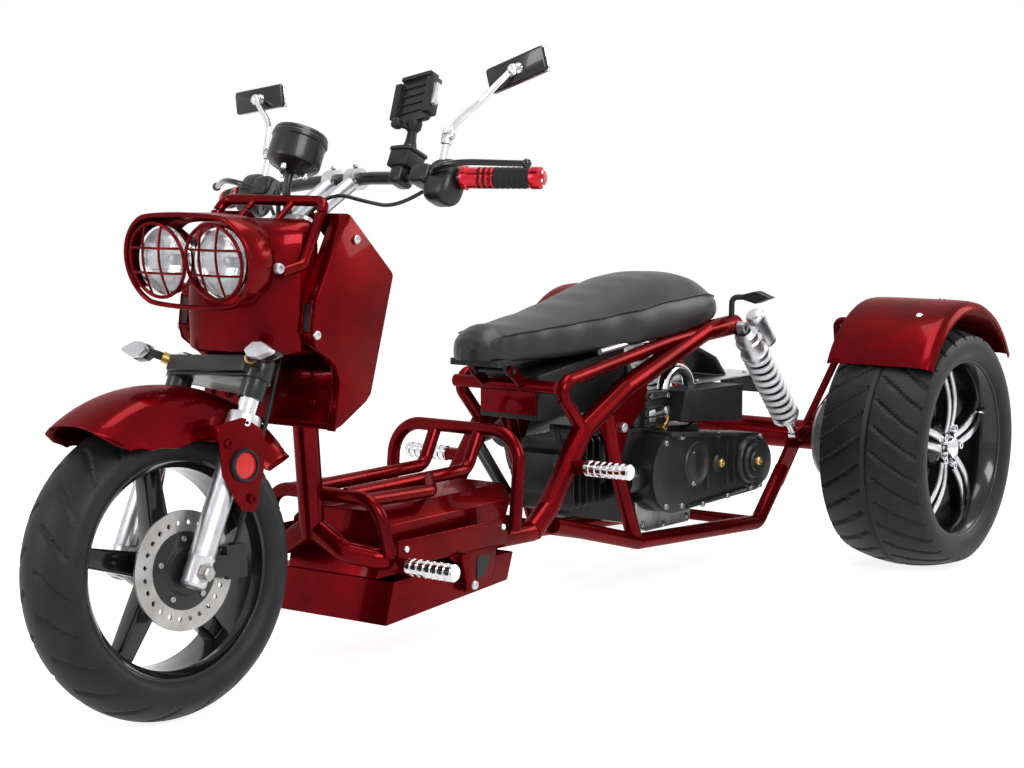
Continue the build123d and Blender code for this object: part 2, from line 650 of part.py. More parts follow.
# Guard plate over the chain and the brake
guard_plate_shares = [(-0.305, 0.632), (-0.46, 0.632), (-0.49, 0.60), (-0.49, 0.594), (-0.46, 0.625), (-0.305, 0.625)]
guard_plate_half = 70.0
with BuildPart() as guard_plate:
    add(slab(guard_plate_shares, guard_plate_half, 0))
guard_plate.part.label = "guard_plate"
export_step(guard_plate.part, "parts/guard_plate.step")

# Rear lights: two signals on stalks from the main tubes' rear ends
signal_long = 62.0
signal_half = 13.0
stalk_r = 6.0
stalk_shares = [(-0.338, 1.02, 0.84), (-0.341, 1.0, 0.912), (-0.346, 1.30, 0.915)]
with BuildPart() as rear_lights:
    add(both(stalk_shares, 2 * stalk_r, stalk_r))
    for side in (1, -1):
        x, y, z = spots(stalk_shares, side)[-1]
        with BuildSketch(Plane(origin=(x, y, z), x_dir=(0, side, 0), z_dir=(side, 0, 0))):
            with BuildLine():
                Polyline((-signal_half / 2, -stalk_r), (signal_long * 0.35, -signal_half), (signal_long * 0.9, 0),
                         (signal_long * 0.35, signal_half), (-signal_half / 2, stalk_r), close=True)
            make_face()
        extrude(amount=signal_half, both=True)
    add([main_tubes.part, shock_bodies.part], mode=Mode.SUBTRACT)
rear_lights.part.label = "rear_lights"
export_step(rear_lights.part, "parts/rear_lights.step")

# Rear axle: the shaft with its sprocket and brake disc
hub_face = 475.0
sprocket_r = 78.0
disc_r = 90.0
plate_thick = 5.0
sprocket_y, rear_disc_y = -205.0, 205.0
with BuildPart() as rear_axle:
    with BuildSketch(rear_face):
        Circle(axle_r)
    extrude(amount=hub_face, both=True)
    for r, y in ((sprocket_r, sprocket_y), (disc_r, rear_disc_y)):
        with BuildSketch(rear_face.offset(y)):
            Circle(r)
        extrude(amount=plate_thick / 2, both=True)
rear_axle.part.label = "rear_axle"
export_step(rear_axle.part, "parts/rear_axle.step")


side_share = 0.62
shoulder_share = 0.93


def tyre(section, width, middle, r, bead_r, bead_share, crown_share):
    """A tyre: beads, bulging sides and a rounded crown, turned about the wheel's own axis."""
    half = width / 2
    shoulder_r = r - half * crown_share
    side_r = bead_r + (shoulder_r - bead_r) * side_share
    shoulder = half * shoulder_share
    with BuildPart() as ring:
        with BuildSketch(section):
            with BuildLine():
                Line((middle - half * bead_share, bead_r), (middle + half * bead_share, bead_r))
                right = ThreePointArc((middle + half * bead_share, bead_r), (middle + half, side_r),
                                      (middle + shoulder, shoulder_r))
                left = ThreePointArc((middle - half * bead_share, bead_r), (middle - half, side_r),
                                     (middle - shoulder, shoulder_r))
                ThreePointArc(right @ 1, (middle, r), left @ 1)
            make_face()
        revolve(axis=Axis(section.origin, section.x_dir))
    return ring.part


# Rear wheels: wide tyres on deep-dished rims
rear_middle = rear_tyre_inside + rear_tyre_width / 2
rear_bead_share = 0.86
rear_crown_share = 0.17
rim_wall = 8.0
spoke_count = 5
spoke_width = 34.0
hub_r = 46.0
for side, name in ((1, "left"), (-1, "right")):
    with BuildPart() as rear_tyre:
        add(tyre(rear_section, rear_tyre_width, side * rear_middle, rear_tyre_r, rear_lip_r - rim_wall,
                 rear_bead_share, rear_crown_share))
    rear_tyre.part.label = "rear_tyre_" + name
    export_step(rear_tyre.part, "parts/rear_tyre_" + name + ".step")
    rim_inside = rear_middle - rear_tyre_width / 2 * rear_bead_share
    rim_outside = rear_middle + rear_tyre_width / 2 * rear_bead_share
    with BuildPart() as rear_rim:
        with BuildSketch(rear_face.offset(side * rim_inside)):
            Circle(rear_lip_r - rim_wall)
            Circle(rear_lip_r - 2 * rim_wall, mode=Mode.SUBTRACT)
        extrude(amount=side * (rim_outside - rim_inside))
        with BuildSketch(rear_face.offset(side * (hub_face - 2 * rim_wall))):
            Circle(hub_r)
            for spoke in range(spoke_count):
                with Locations(Rotation(0, 0, 360.0 / spoke_count * spoke)):
                    with Locations((rear_lip_r / 2, 0)):
                        Rectangle(rear_lip_r - 3 * rim_wall, spoke_width)
        extrude(amount=side * 2 * rim_wall)
        with BuildSketch(rear_face):
            Circle(axle_r)
        extrude(amount=side * hub_face, mode=Mode.SUBTRACT)
    rear_rim.part.label = "rear_rim_" + name
    export_step(rear_rim.part, "parts/rear_rim_" + name + ".step")

# Seat: the pad, and a base under it with the hinge's arms
seat_over = 20.0
seat_half = frame_half + seat_over
nose_half = 62.0
pad_shares = [(0.075, 0.790), (-0.10, 0.805), (-0.22, 0.850), (-0.345, 0.885), (-0.352, 0.91), (-0.335, 0.965),
              (-0.30, 0.995), (-0.23, 1.0), (-0.16, 0.965), (-0.06, 0.905), (0.02, 0.875), (0.070, 0.845)]
seat_plan_shares = [(0.078, 0.30), (0.055, 0.47), (-0.05, 0.62), (-0.15, 0.90), (-0.24, 1.0), (-0.32, 0.94),
                    (-0.354, 0.60)]
with BuildPart() as seat_pad:
    add(slab(pad_shares, seat_half))
    with BuildSketch(Plane.XY):
        with BuildLine():
            Polyline(*[(spot(x_share, 0, 0)[0], side * y_share * seat_half)
                       for side in (1, -1) for x_share, y_share in seat_plan_shares[::side]], close=True)
        make_face()
    extrude(amount=2 * seat_top, mode=Mode.INTERSECT)
seat_pad.part.label = "seat_pad"
export_step(seat_pad.part, "parts/seat_pad.step")
base_shares = [(0.060, 0.795), (-0.10, 0.810), (-0.22, 0.855), (-0.32, 0.880), (-0.32, 0.860), (-0.22, 0.832),
               (-0.10, 0.790), (0.060, 0.772)]
base_half = 55.0
arm_gap = 1.0
arm_z_share = 0.775
with BuildPart() as seat_base:
    add(slab(base_shares, base_half))
    for side in (1, -1):
        y = side * (hinge_half - 2 * hinge_tab_half - arm_gap)
        arm_ends = [(hinge_x, hinge_z), (hinge_x + hinge_tab_r, arm_z_share * seat_top)]
        add(link(arm_ends, hinge_tab_r * 0.8, hinge_tab_half, y))
    with BuildSketch(Plane.XZ):
        with Locations((hinge_x, hinge_z)):
            Circle(hinge_pin_r)
    extrude(amount=hinge_half + 2 * hinge_tab_half, both=True)
    add(seat_pad.part, mode=Mode.SUBTRACT)
seat_base.part.label = "seat_base"
export_step(seat_base.part, "parts/seat_base.step")

# Fork: the stem and crown, the stanchions, the sliders and the axle
with BuildPart() as fork_crown:
    with BuildSketch(fork.offset(crown_low)):
        with Locations((fork_offset, leg_half), (fork_offset, -leg_half)):
            Circle(stanchion_r + rim_wall)
        Circle(stem_r + rim_wall)
        make_hull()
    extrude(amount=crown_tall)
    with BuildSketch(fork.offset(crown_low)):
        Circle(stem_r)
    extrude(amount=stem_high - crown_low)
    with BuildSketch(fork.offset(crown_low)):
        with Locations((fork_offset, leg_half), (fork_offset, -leg_half)):
            Circle(stanchion_r)
    extrude(amount=crown_tall, mode=Mode.SUBTRACT)
fork_crown.part.label = "fork_crown"
export_step(fork_crown.part, "parts/fork_crown.step")
slider_low, slider_high = -24.0, 262.0
stanchion_low = 60.0
front_axle_r = 9.0
slider_cap_r = 22.0
slider_cap_out = 3.0
with BuildPart() as fork_stanchions:
    with BuildSketch(fork.offset(stanchion_low)):
        with Locations((fork_offset, leg_half), (fork_offset, -leg_half)):
            Circle(stanchion_r)
    extrude(amount=crown_high - stanchion_low)
fork_stanchions.part.label = "fork_stanchions"
export_step(fork_stanchions.part, "parts/fork_stanchions.step")
with BuildPart() as front_axle:
    with BuildSketch(front_face):
        Circle(front_axle_r)
    extrude(amount=leg_half + slider_r + rim_wall, both=True)
front_axle.part.label = "front_axle"
export_step(front_axle.part, "parts/front_axle.step")
with BuildPart() as fork_sliders:
    with BuildSketch(fork.offset(slider_low)):
        with Locations((fork_offset, leg_half), (fork_offset, -leg_half)):
            Circle(slider_r)
    extrude(amount=slider_high - slider_low)
    with BuildSketch(fork.offset(slider_high - 2 * slider_r)):
        with Locations((fork_offset, leg_half + slider_cap_out), (fork_offset, -leg_half - slider_cap_out)):
            Circle(slider_cap_r)
    extrude(amount=2 * slider_r)
    add([fork_stanchions.part, front_axle.part], mode=Mode.SUBTRACT)
fork_sliders.part.label = "fork_sliders"
export_step(fork_sliders.part, "parts/fork_sliders.step")

# Front fender: a sheet over the tyre between the fork's legs, its sides cut along a low line, and a plate
# outside each leg that carries a reflector. Its outline is in shares of the tyre's radius from the axle.
level_x = Vector(1, 0, 0).rotate(Axis((0, 0, 0), axis_dir), steer_angle)
front_level = Plane(origin=front_hub, x_dir=level_x, z_dir=-fork.y_dir)
front_fender_rise = 44.6
front_fender_r = front_tyre_r + front_fender_rise
leg_gap = 1.0
front_fender_half = leg_half - slider_r - leg_gap
fender_wall = 3.0
fender_round = 30.0
fender_inner = 140.0
fender_cut_shares = [(0.60, 0.93), (0.50, 0.855), (0.41, 0.82), (0.045, 0.795), (-0.36, 0.805), (-0.51, 0.68),
                     (-0.68, 0.567), (-1.10, 0.75), (-1.10, 1.40), (0.66, 1.40)]
side_cut_shares = [(-0.36, 0.96), (-0.14, 0.93), (-0.16, 0.60), (-0.30, 0.36), (-0.42, 0.33), (-0.50, 0.60),
                   (-0.52, 0.86)]
web_shares = [(-0.20, 0.92), (-0.14, 0.92), (-0.14, 0.82), (-0.20, 0.82)]
side_gap = 6.0
side_out = leg_half + slider_r + side_gap


def level_slab(table, low_y, high_y):
    """A slab over the front wheel: an outline in shares of the tyre's radius from the axle."""
    with BuildPart() as block:
        with BuildSketch(front_level.offset(-high_y)):
            with BuildLine():
                Polyline(*[(x_share * front_tyre_r, z_share * front_tyre_r) for x_share, z_share in table],
                         close=True)
            make_face()
        extrude(amount=high_y - low_y)
    return block.part


with BuildPart() as front_fender:
    with BuildSketch(front_section):
        with Locations((0, (fender_inner + front_fender_r) / 2)):
            RectangleRounded(2 * front_fender_half, front_fender_r - fender_inner, fender_round)
        with Locations((0, (fender_inner + front_fender_r) / 2 - fender_wall)):
            RectangleRounded(2 * (front_fender_half - fender_wall), front_fender_r - fender_inner,
                             fender_round - fender_wall, mode=Mode.SUBTRACT)
    revolve(axis=Axis(front_section.origin, front_section.x_dir))
    add(level_slab(fender_cut_shares, -front_fender_half, front_fender_half), mode=Mode.INTERSECT)
    for low_y, high_y in ((side_out, side_out + fender_wall), (-side_out - fender_wall, -side_out)):
        add(level_slab(side_cut_shares, low_y, high_y))
    for low_y, high_y in ((front_fender_half - fender_wall, side_out), (-side_out, fender_wall - front_fender_half)):
        add(level_slab(web_shares, low_y, high_y))
    add([fork_sliders.part, fork_stanchions.part], mode=Mode.SUBTRACT)
front_fender.part.label = "front_fender"
export_step(front_fender.part, "parts/front_fender.step")

# Round reflectors on the fender's side plates
reflector_r = 22.0
reflector_deep = 9.0
reflector_shares = (-0.335, 0.65)
with BuildPart() as fork_reflectors:
    for side in (1, -1):
        with BuildSketch(front_level.offset(-side * (side_out + fender_wall))):
            with Locations((reflector_shares[0] * front_tyre_r, reflector_shares[1] * front_tyre_r)):
                Circle(reflector_r)
        extrude(amount=-side * reflector_deep)
fork_reflectors.part.label = "fork_reflectors"
export_step(fork_reflectors.part, "parts/fork_reflectors.step")

# Front signals on stalks from the crown
signal_u = crown_low + crown_tall * 0.8
signal_y = 135.0
with BuildPart() as front_signals:
    for side in (1, -1):
        add(rod([(fork_offset, side * (leg_half + stanchion_r), signal_u),
                 (fork_offset + signal_long * 0.8, side * signal_y, signal_u)], 0, stalk_r, fork))
        signal_place = Plane(origin=fork.from_local_coords((fork_offset + signal_long * 0.8, side * signal_y, signal_u)),
                             x_dir=fork.y_dir * side, z_dir=fork.z_dir)
        with BuildSketch(signal_place):
            with BuildLine():
                Polyline((-signal_half, 0), (signal_long * 0.3, signal_half * 1.4), (signal_long, 0),
                         (signal_long * 0.3, -signal_half * 1.4), close=True)
            make_face()
        extrude(amount=signal_half, both=True)
    add([fork_crown.part, fork_stanchions.part], mode=Mode.SUBTRACT)
front_signals.part.label = "front_signals"
export_step(front_signals.part, "parts/front_signals.step")

# Handlebar, its risers and grips
bar_r = 11.0
bar_bend = 60.0
bar_clamp = (-82.0, 735.0)
bar_points = [(-148.0, 395.0, 748.0), (-92.0, 270.0, 729.0), (-82.0, 70.0, 735.0),
              (-82.0, -70.0, 735.0), (-92.0, -270.0, 729.0), (-148.0, -395.0, 748.0)]
with BuildPart() as handlebar:
    add(rod(bar_points, bar_bend, bar_r, fork))
handlebar.part.label = "handlebar"
export_step(handlebar.part, "parts/handlebar.step")
riser_half = 28.0
riser_r = 13.0
clamp_r = 19.0
clamp_half = 12.0
top_clamp_tall = 26.0
with BuildPart() as bar_risers:
    with BuildSketch(fork.offset(stem_high - top_clamp_tall)):
        with Locations((0, riser_half), (0, -riser_half)):
            Circle(clamp_r)
        make_hull()
    extrude(amount=top_clamp_tall)
    for side in (1, -1):
        add(rod([(0, side * riser_half, stem_high - top_clamp_tall / 2),
                 (bar_clamp[0], side * riser_half, bar_clamp[1])], 0, riser_r, fork))
        with BuildSketch(Plane(origin=fork.from_local_coords((bar_clamp[0], side * riser_half, bar_clamp[1])),
                               x_dir=fork.x_dir, z_dir=fork.y_dir)):
            Circle(clamp_r)
        extrude(amount=clamp_half, both=True)
    add([handlebar.part, fork_crown.part], mode=Mode.SUBTRACT)
bar_risers.part.label = "bar_risers"
export_step(bar_risers.part, "parts/bar_risers.step")


def along_grip(side, share):
    """A place along a grip: 0 at the bar's outer bend, 1 at the bar's end."""
    inner, outer = Vector(bar_points[1]), Vector(bar_points[0])
    place = inner + (outer - inner) * share
    return (place.X, side * place.Y, place.Z)


grip_r = 17.0
with BuildPart() as grips:
    for side in (1, -1):
        add(rod([along_grip(side, 0.18), along_grip(side, 1.03)], 0, grip_r, fork))
    add(handlebar.part, mode=Mode.SUBTRACT)
grips.part.label = "grips"
export_step(grips.part, "parts/grips.step")

# Switch housings, levers and the fluid box on the bar
switch_r = 25.0
lever_r = 5.0
box_side = 46.0
box_tall = 34.0
fluid_y = 141.0
collar_half = 12.0
collar_r = 16.0
switch_points = [(-88.0, 205.0, 727.0), (-91.0, 250.0, 728.0)]
lever_points = [(-62.0, 235.0, 727.0), (-52.0, 272.0, 735.0), (-112.0, 390.0, 756.0)]
fluid_points = [(bar_clamp[0], fluid_y - collar_half, bar_clamp[1]), (bar_clamp[0], fluid_y + collar_half, bar_clamp[1])]
with BuildPart() as bar_controls:
    for side in (1, -1):
        add(rod([(x, side * y, z) for x, y, z in switch_points], 0, switch_r, fork))
        add(rod([(x, side * y, z) for x, y, z in lever_points], bar_r * 2, lever_r, fork))
    add(rod(fluid_points, 0, collar_r, fork))
    with BuildSketch(fork.offset(bar_clamp[1] + bar_r)):
        with Locations((bar_clamp[0], fluid_y)):
            Rectangle(box_side, box_side)
    extrude(amount=box_tall)
    add([handlebar.part, grips.part], mode=Mode.SUBTRACT)
bar_controls.part.label = "bar_controls"
export_step(bar_controls.part, "parts/bar_controls.step")

# Gauge: a round can ahead of the bar on a bracket from the top clamp
gauge_r = 47.0
gauge_tall = 62.0
gauge_place = (36.0, 2.0, 704.0)
with BuildPart() as gauge:
    with BuildSketch(fork.offset(gauge_place[2])):
        with Locations(gauge_place[:2]):
            Circle(gauge_r)
    extrude(amount=gauge_tall)
    add(rod([(0, 0, stem_high), gauge_place], 0, stalk_r, fork))
    add([bar_risers.part, fork_crown.part], mode=Mode.SUBTRACT)
gauge.part.label = "gauge"
export_step(gauge.part, "parts/gauge.step")

# Mirrors on curved arms
mirror_points = [(-88.0, 225.0, 745.0), (-80.0, 228.0, 800.0), (-92.0, 250.0, 850.0), (-98.0, 300.0, 905.0)]
mirror_long = 132.0
mirror_tall = 42.0
mirror_deep = 16.0
arm_r = 5.0
mirror_place = (-98.0, 325.0, 923.0)
mirror_round = 8.0
with BuildPart() as mirrors:
    for side in (1, -1):
        add(rod([(x, side * y, z) for x, y, z in mirror_points], box_side / 2, arm_r, fork))
        place = Plane(origin=fork.from_local_coords((mirror_place[0], side * mirror_place[1], mirror_place[2])),
                      x_dir=fork.y_dir, z_dir=level_x)
        with BuildSketch(place):
            RectangleRounded(mirror_long, mirror_tall, mirror_round)
        extrude(amount=mirror_deep / 2, both=True)
    add([handlebar.part, bar_controls.part], mode=Mode.SUBTRACT)
mirrors.part.label = "mirrors"
export_step(mirrors.part, "parts/mirrors.step")

# Device holder on the fluid box: a ball stem and a shallow tray
holder_points = [(-82.0, 141.0, 780.0), (-78.0, 135.0, 838.0)]
holder_place = (-74.0, 129.0, 863.0)
holder_long = 94.0
holder_tall = 66.0
holder_deep = 22.0
with BuildPart() as device_holder:
    add(rod(holder_points, 0, bar_r, fork))
    place = Plane(origin=fork.from_local_coords(holder_place), x_dir=fork.y_dir, z_dir=level_x)
    with BuildSketch(place):
        RectangleRounded(holder_long, holder_tall, mirror_round)
    extrude(amount=holder_deep / 2, both=True)
    add(bar_controls.part, mode=Mode.SUBTRACT)
device_holder.part.label = "device_holder"
export_step(device_holder.part, "parts/device_holder.step")

# Front brake: the caliper on the left leg
disc_gap = 5.0
front_disc_in = 62.0
front_disc_thick = 4.0
front_disc_r = 95.0
bracket_thick = 4.0
caliper_in, caliper_out = front_disc_in - 2 * disc_gap, front_disc_in + 4 * disc_gap
caliper_shares = [(-0.30, 0.12), (-0.46, 0.12), (-0.46, -0.10), (-0.30, -0.10)]
bracket_shares = [(-0.02, 0.10), (-0.02, -0.06), (-0.34, -0.08), (-0.40, 0.02), (-0.30, 0.06)]
with BuildPart() as front_caliper:
    add(level_slab(caliper_shares, caliper_in, caliper_out))
    add(level_slab(bracket_shares, caliper_out - bracket_thick, caliper_out))
    with BuildSketch(front_face.offset(front_disc_in - disc_gap)):
        Circle(front_disc_r + disc_gap)
    extrude(amount=front_disc_thick + 2 * disc_gap, mode=Mode.SUBTRACT)
    add([fork_sliders.part, front_axle.part], mode=Mode.SUBTRACT)
front_caliper.part.label = "front_caliper"
export_step(front_caliper.part, "parts/front_caliper.step")

# Front wheel: tyre, cast rim with its hub, and the drilled disc
front_rim_half = 50.0
front_bead_share, front_crown_share = 0.80, 0.46
front_spokes = 5
front_spoke_half = 20.0
with BuildPart() as front_tyre:
    add(tyre(front_section, front_tyre_width, 0, front_tyre_r, front_bead_r - rim_wall / 2,
             front_bead_share, front_crown_share))
front_tyre.part.label = "front_tyre"
export_step(front_tyre.part, "parts/front_tyre.step")
with BuildPart() as front_rim:
    with BuildSketch(front_face):
        Circle(front_bead_r - rim_wall / 2)
        Circle(front_bead_r - 2 * rim_wall, mode=Mode.SUBTRACT)
    extrude(amount=front_rim_half, both=True)
    with BuildSketch(front_face):
        Circle(hub_r * 0.8)
        for spoke in range(front_spokes):
            with Locations(Rotation(0, 0, 360.0 / front_spokes * spoke)):
                with Locations((front_bead_r / 2, 0)):
                    Rectangle(front_bead_r - 3 * rim_wall, spoke_width)
    extrude(amount=front_spoke_half, both=True)
    with BuildSketch(front_face):
        Circle(hub_r * 0.7)
    extrude(amount=front_disc_in, both=True)
    with BuildSketch(front_face):
        Circle(front_axle_r + running)
    extrude(amount=front_disc_in + overrun, both=True, mode=Mode.SUBTRACT)
front_rim.part.label = "front_rim"
export_step(front_rim.part, "parts/front_rim.step")
disc_holes = 24
with BuildPart() as front_disc:
    with BuildSketch(front_face.offset(front_disc_in)):
        Circle(front_disc_r)
        Circle(front_axle_r + clear, mode=Mode.SUBTRACT)
        with PolarLocations(front_disc_r * 0.80, disc_holes):
            Circle(rim_wall / 2, mode=Mode.SUBTRACT)
    extrude(amount=front_disc_thick)
front_disc.part.label = "front_disc"
export_step(front_disc.part, "parts/front_disc.step")

# Brake hose from the right lever past the crown to the caliper, and the cables from both switches. The
# points are on the fork's plane: across the axis forward, to the left, and up along the axis.
hose_r = 4.0
cable_r = 3.2
hose_points = [(-80.0, -207.0, 710.0), (-50.0, -146.0, 702.0), (-14.0, -98.0, 700.0), (12.0, -56.0, 690.0),
               (26.0, -22.0, 657.0), (33.0, 6.0, 608.0), (31.0, 40.0, 548.0), (8.0, 56.0, 484.0),
               (-14.0, 58.0, 414.0), (-15.0, 61.0, 350.0), (-8.0, 78.0, 292.0), (2.0, 94.0, 232.0),
               (0.0, 96.0, 175.0), (-14.0, 86.0, 125.0), (-24.0, 76.0, 66.0)]
cable_points = [(-84.0, 202.0, 705.0), (-66.0, 170.0, 668.0), (-26.0, 132.0, 664.0), (0.0, 92.0, 668.0),
                (6.0, 54.0, 645.0), (2.0, 33.0, 614.0)]


def cord(points, r):
    """A cord along straight runs joined by arcs as large as the runs allow; prints the arcs' radii."""
    stops = [Vector(point) for point in points]
    radii = []
    for before, at, after in zip(stops, stops[1:], stops[2:]):
        turn = (at - before).get_angle(after - at)
        shorter = min((at - before).length, (after - at).length)
        radii.append(arc_share * shorter / tan(radians(turn / 2)))
    print([round(radius, 1) for radius in radii])
    return rod(points, radii, r, fork)


arc_share = 0.45
with BuildPart() as brake_hose:
    add(cord(hose_points, hose_r))
    add([bar_controls.part, front_caliper.part], mode=Mode.SUBTRACT)
brake_hose.part.label = "brake_hose"
export_step(brake_hose.part, "parts/brake_hose.step")
for side, name in ((1, "left"), (-1, "right")):
    with BuildPart() as cable:
        add(cord([(x, side * y, z) for x, y, z in cable_points], cable_r))
        add([bar_risers.part, fork_crown.part, brake_hose.part], mode=Mode.SUBTRACT)
    cable.part.label = "control_cable_" + name
    export_step(cable.part, "parts/control_cable_" + name + ".step")
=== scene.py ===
import json
import math

import bmesh
import bpy
from mathutils import Matrix, Vector


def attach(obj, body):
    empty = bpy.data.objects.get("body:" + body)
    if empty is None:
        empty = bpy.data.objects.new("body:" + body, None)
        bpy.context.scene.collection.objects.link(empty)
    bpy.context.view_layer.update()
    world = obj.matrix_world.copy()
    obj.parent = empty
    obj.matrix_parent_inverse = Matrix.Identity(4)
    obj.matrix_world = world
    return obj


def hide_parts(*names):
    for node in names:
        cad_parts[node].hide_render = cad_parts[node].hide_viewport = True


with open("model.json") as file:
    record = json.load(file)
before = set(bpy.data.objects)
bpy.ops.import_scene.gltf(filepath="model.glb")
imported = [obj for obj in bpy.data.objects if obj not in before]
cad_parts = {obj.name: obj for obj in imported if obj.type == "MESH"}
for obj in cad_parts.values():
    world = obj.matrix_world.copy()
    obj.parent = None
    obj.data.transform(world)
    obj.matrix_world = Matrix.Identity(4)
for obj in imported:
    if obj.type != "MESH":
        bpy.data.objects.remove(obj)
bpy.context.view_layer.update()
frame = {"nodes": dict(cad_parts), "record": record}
nodes = frame["nodes"]


# The steering's own plane and the wheels' axes
RAKE = math.radians(26.0)
STEER = math.radians(-8.1)
AXIS = Vector((-math.sin(RAKE), 0, math.cos(RAKE)))
SQUARE = Vector((math.cos(RAKE), 0, math.sin(RAKE)))
FOOT = Vector((0.9385, 0, 0.2434)) - SQUARE * 0.050
TURNED = Matrix.Rotation(STEER, 3, AXIS) @ SQUARE
ACROSS = AXIS.cross(TURNED)
LEVEL = Matrix.Rotation(STEER, 3, AXIS) @ Vector((1, 0, 0))
RISE = LEVEL.cross(ACROSS)
FRONT_HUB = FOOT + TURNED * 0.050
REAR_X, REAR_Z = -0.9215, 0.2604


def basis(origin, x, y, z):
    m = Matrix((x, y, z)).transposed().to_4x4()
    m.translation = origin
    return m


FORK = basis(FOOT, TURNED, ACROSS, AXIS)
HEAD = basis(FOOT, SQUARE, Vector((0, 1, 0)), AXIS)
WHEEL = basis(FRONT_HUB, LEVEL, ACROSS, RISE)
REAR = basis(Vector((REAR_X, 0, REAR_Z)), Vector((1, 0, 0)), Vector((0, 1, 0)), Vector((0, 0, 1)))
ROW = Matrix.Identity(4)


def mm(point):
    return Vector(point) / 1000.0


# Materials
def material(name, color, metallic=0.0, rough=0.5, coat=0.0, spec=0.5, coat_rough=0.04):
    mat = bpy.data.materials.new(name)
    mat.use_nodes = True
    tree = mat.node_tree
    shader = tree.nodes["Principled BSDF"]
    shader.inputs["Base Color"].default_value = (*color, 1)
    shader.inputs["Metallic"].default_value = metallic
    shader.inputs["Roughness"].default_value = rough
    shader.inputs["Coat Weight"].default_value = coat
    shader.inputs["Coat Roughness"].default_value = coat_rough
    shader.inputs["Specular IOR Level"].default_value = spec
    return mat, tree, shader


def coords(tree, scale=1.0):
    place = tree.nodes.new("ShaderNodeTexCoord")
    mapping = tree.nodes.new("ShaderNodeMapping")
    mapping.inputs["Scale"].default_value = (scale, scale, scale)
    tree.links.new(place.outputs["Object"], mapping.inputs["Vector"])
    return mapping.outputs["Vector"]


def noise(tree, scale, detail=4.0, rough=0.55):
    node = tree.nodes.new("ShaderNodeTexNoise")
    node.inputs["Scale"].default_value = scale
    node.inputs["Detail"].default_value = detail
    node.inputs["Roughness"].default_value = rough
    tree.links.new(coords(tree), node.inputs["Vector"])
    return node.outputs["Fac"]


def ramp(tree, value, stops):
    node = tree.nodes.new("ShaderNodeValToRGB")
    ends = node.color_ramp.elements
    while len(ends) < len(stops):
        ends.new(0.5)
    for end, (place, color) in zip(ends, stops):
        end.position = place
        end.color = (*color, 1)
    tree.links.new(value, node.inputs["Fac"])
    return node.outputs["Color"]


def rough_from(tree, shader, value, low, high):
    node = tree.nodes.new("ShaderNodeMapRange")
    node.inputs["To Min"].default_value = low
    node.inputs["To Max"].default_value = high
    tree.links.new(value, node.inputs["Value"])
    tree.links.new(node.outputs["Result"], shader.inputs["Roughness"])


def bump(tree, shader, height, strength, distance, edge=0.0):
    node = tree.nodes.new("ShaderNodeBump")
    node.inputs["Strength"].default_value = strength
    node.inputs["Distance"].default_value = distance
    tree.links.new(height, node.inputs["Height"])
    if edge:
        bevel = tree.nodes.new("ShaderNodeBevel")
        bevel.samples = 4
        bevel.inputs["Radius"].default_value = edge
        tree.links.new(bevel.outputs["Normal"], node.inputs["Normal"])
    tree.links.new(node.outputs["Normal"], shader.inputs["Normal"])


def painted(name, dark, light, metallic, rough, coat, flake=0.0, edge=0.0015, spec=0.5):
    mat, tree, shader = material(name, light, metallic, rough, coat, spec)
    color = ramp(tree, noise(tree, 9.0, 3.0), [(0.35, dark), (0.65, light)])
    tree.links.new(color, shader.inputs["Base Color"])
    rough_from(tree, shader, noise(tree, 140.0, 2.0), rough * 0.8, rough * 1.2)
    cell = tree.nodes.new("ShaderNodeTexVoronoi")
    cell.inputs["Scale"].default_value = 1500.0
    tree.links.new(coords(tree), cell.inputs["Vector"])
    bump(tree, shader, cell.outputs["Distance"], flake, 0.0002, edge)
    return mat


def moulded(name, dark, light, rough, grain=600.0, depth=0.25, edge=0.001, metallic=0.0, spec=0.5):
    mat, tree, shader = material(name, light, metallic, rough, spec=spec)
    color = ramp(tree, noise(tree, 30.0), [(0.3, dark), (0.7, light)])
    tree.links.new(color, shader.inputs["Base Color"])
    rough_from(tree, shader, noise(tree, 60.0), rough * 0.85, min(1, rough * 1.15))
    bump(tree, shader, noise(tree, grain, 3.0), depth, 0.0004, edge)
    return mat


def metal(name, dark, light, rough, grain=250.0, depth=0.08, edge=0.001):
    return moulded(name, dark, light, rough, grain, depth, edge, 1.0)


candy = painted("candy_red", (0.085, 0.0003, 0.0018), (0.15, 0.0005, 0.0034), 0.75, 0.27, 0.10, 0.05, spec=0.08)
candy.node_tree.nodes["Principled BSDF"].inputs["Specular Tint"].default_value = (0.6, 0.04, 0.05, 1)
anodised = painted("anodised_red", (0.42, 0.004, 0.012), (0.55, 0.008, 0.02), 0.85, 0.25, 0.3, 0.05)
black_paint = painted("black_satin", (0.004, 0.004, 0.005), (0.009, 0.009, 0.010), 0.0, 0.34, 0.15, 0.02, spec=0.3)
black_gloss = painted("black_gloss", (0.003, 0.003, 0.004), (0.007, 0.007, 0.008), 0.0, 0.18, 0.3, 0.0, spec=0.3)
black_plastic = moulded("black_plastic", (0.005, 0.005, 0.006), (0.012, 0.012, 0.013), 0.5, spec=0.25)
black_cast = moulded("black_cast", (0.004, 0.004, 0.004), (0.010, 0.010, 0.010), 0.36, 260.0, 0.35, spec=0.35)
grey_cast = metal("grey_cast", (0.24, 0.24, 0.24), (0.40, 0.40, 0.41), 0.5, 320.0, 0.4)
chrome = metal("chrome", (0.66, 0.66, 0.68), (0.78, 0.78, 0.80), 0.09, 60.0, 0.01)
silver = metal("silver_cast", (0.46, 0.46, 0.48), (0.60, 0.60, 0.62), 0.36, 500.0, 0.12)
machined = metal("machined_rim", (0.50, 0.50, 0.52), (0.68, 0.68, 0.70), 0.22, 400.0, 0.06)
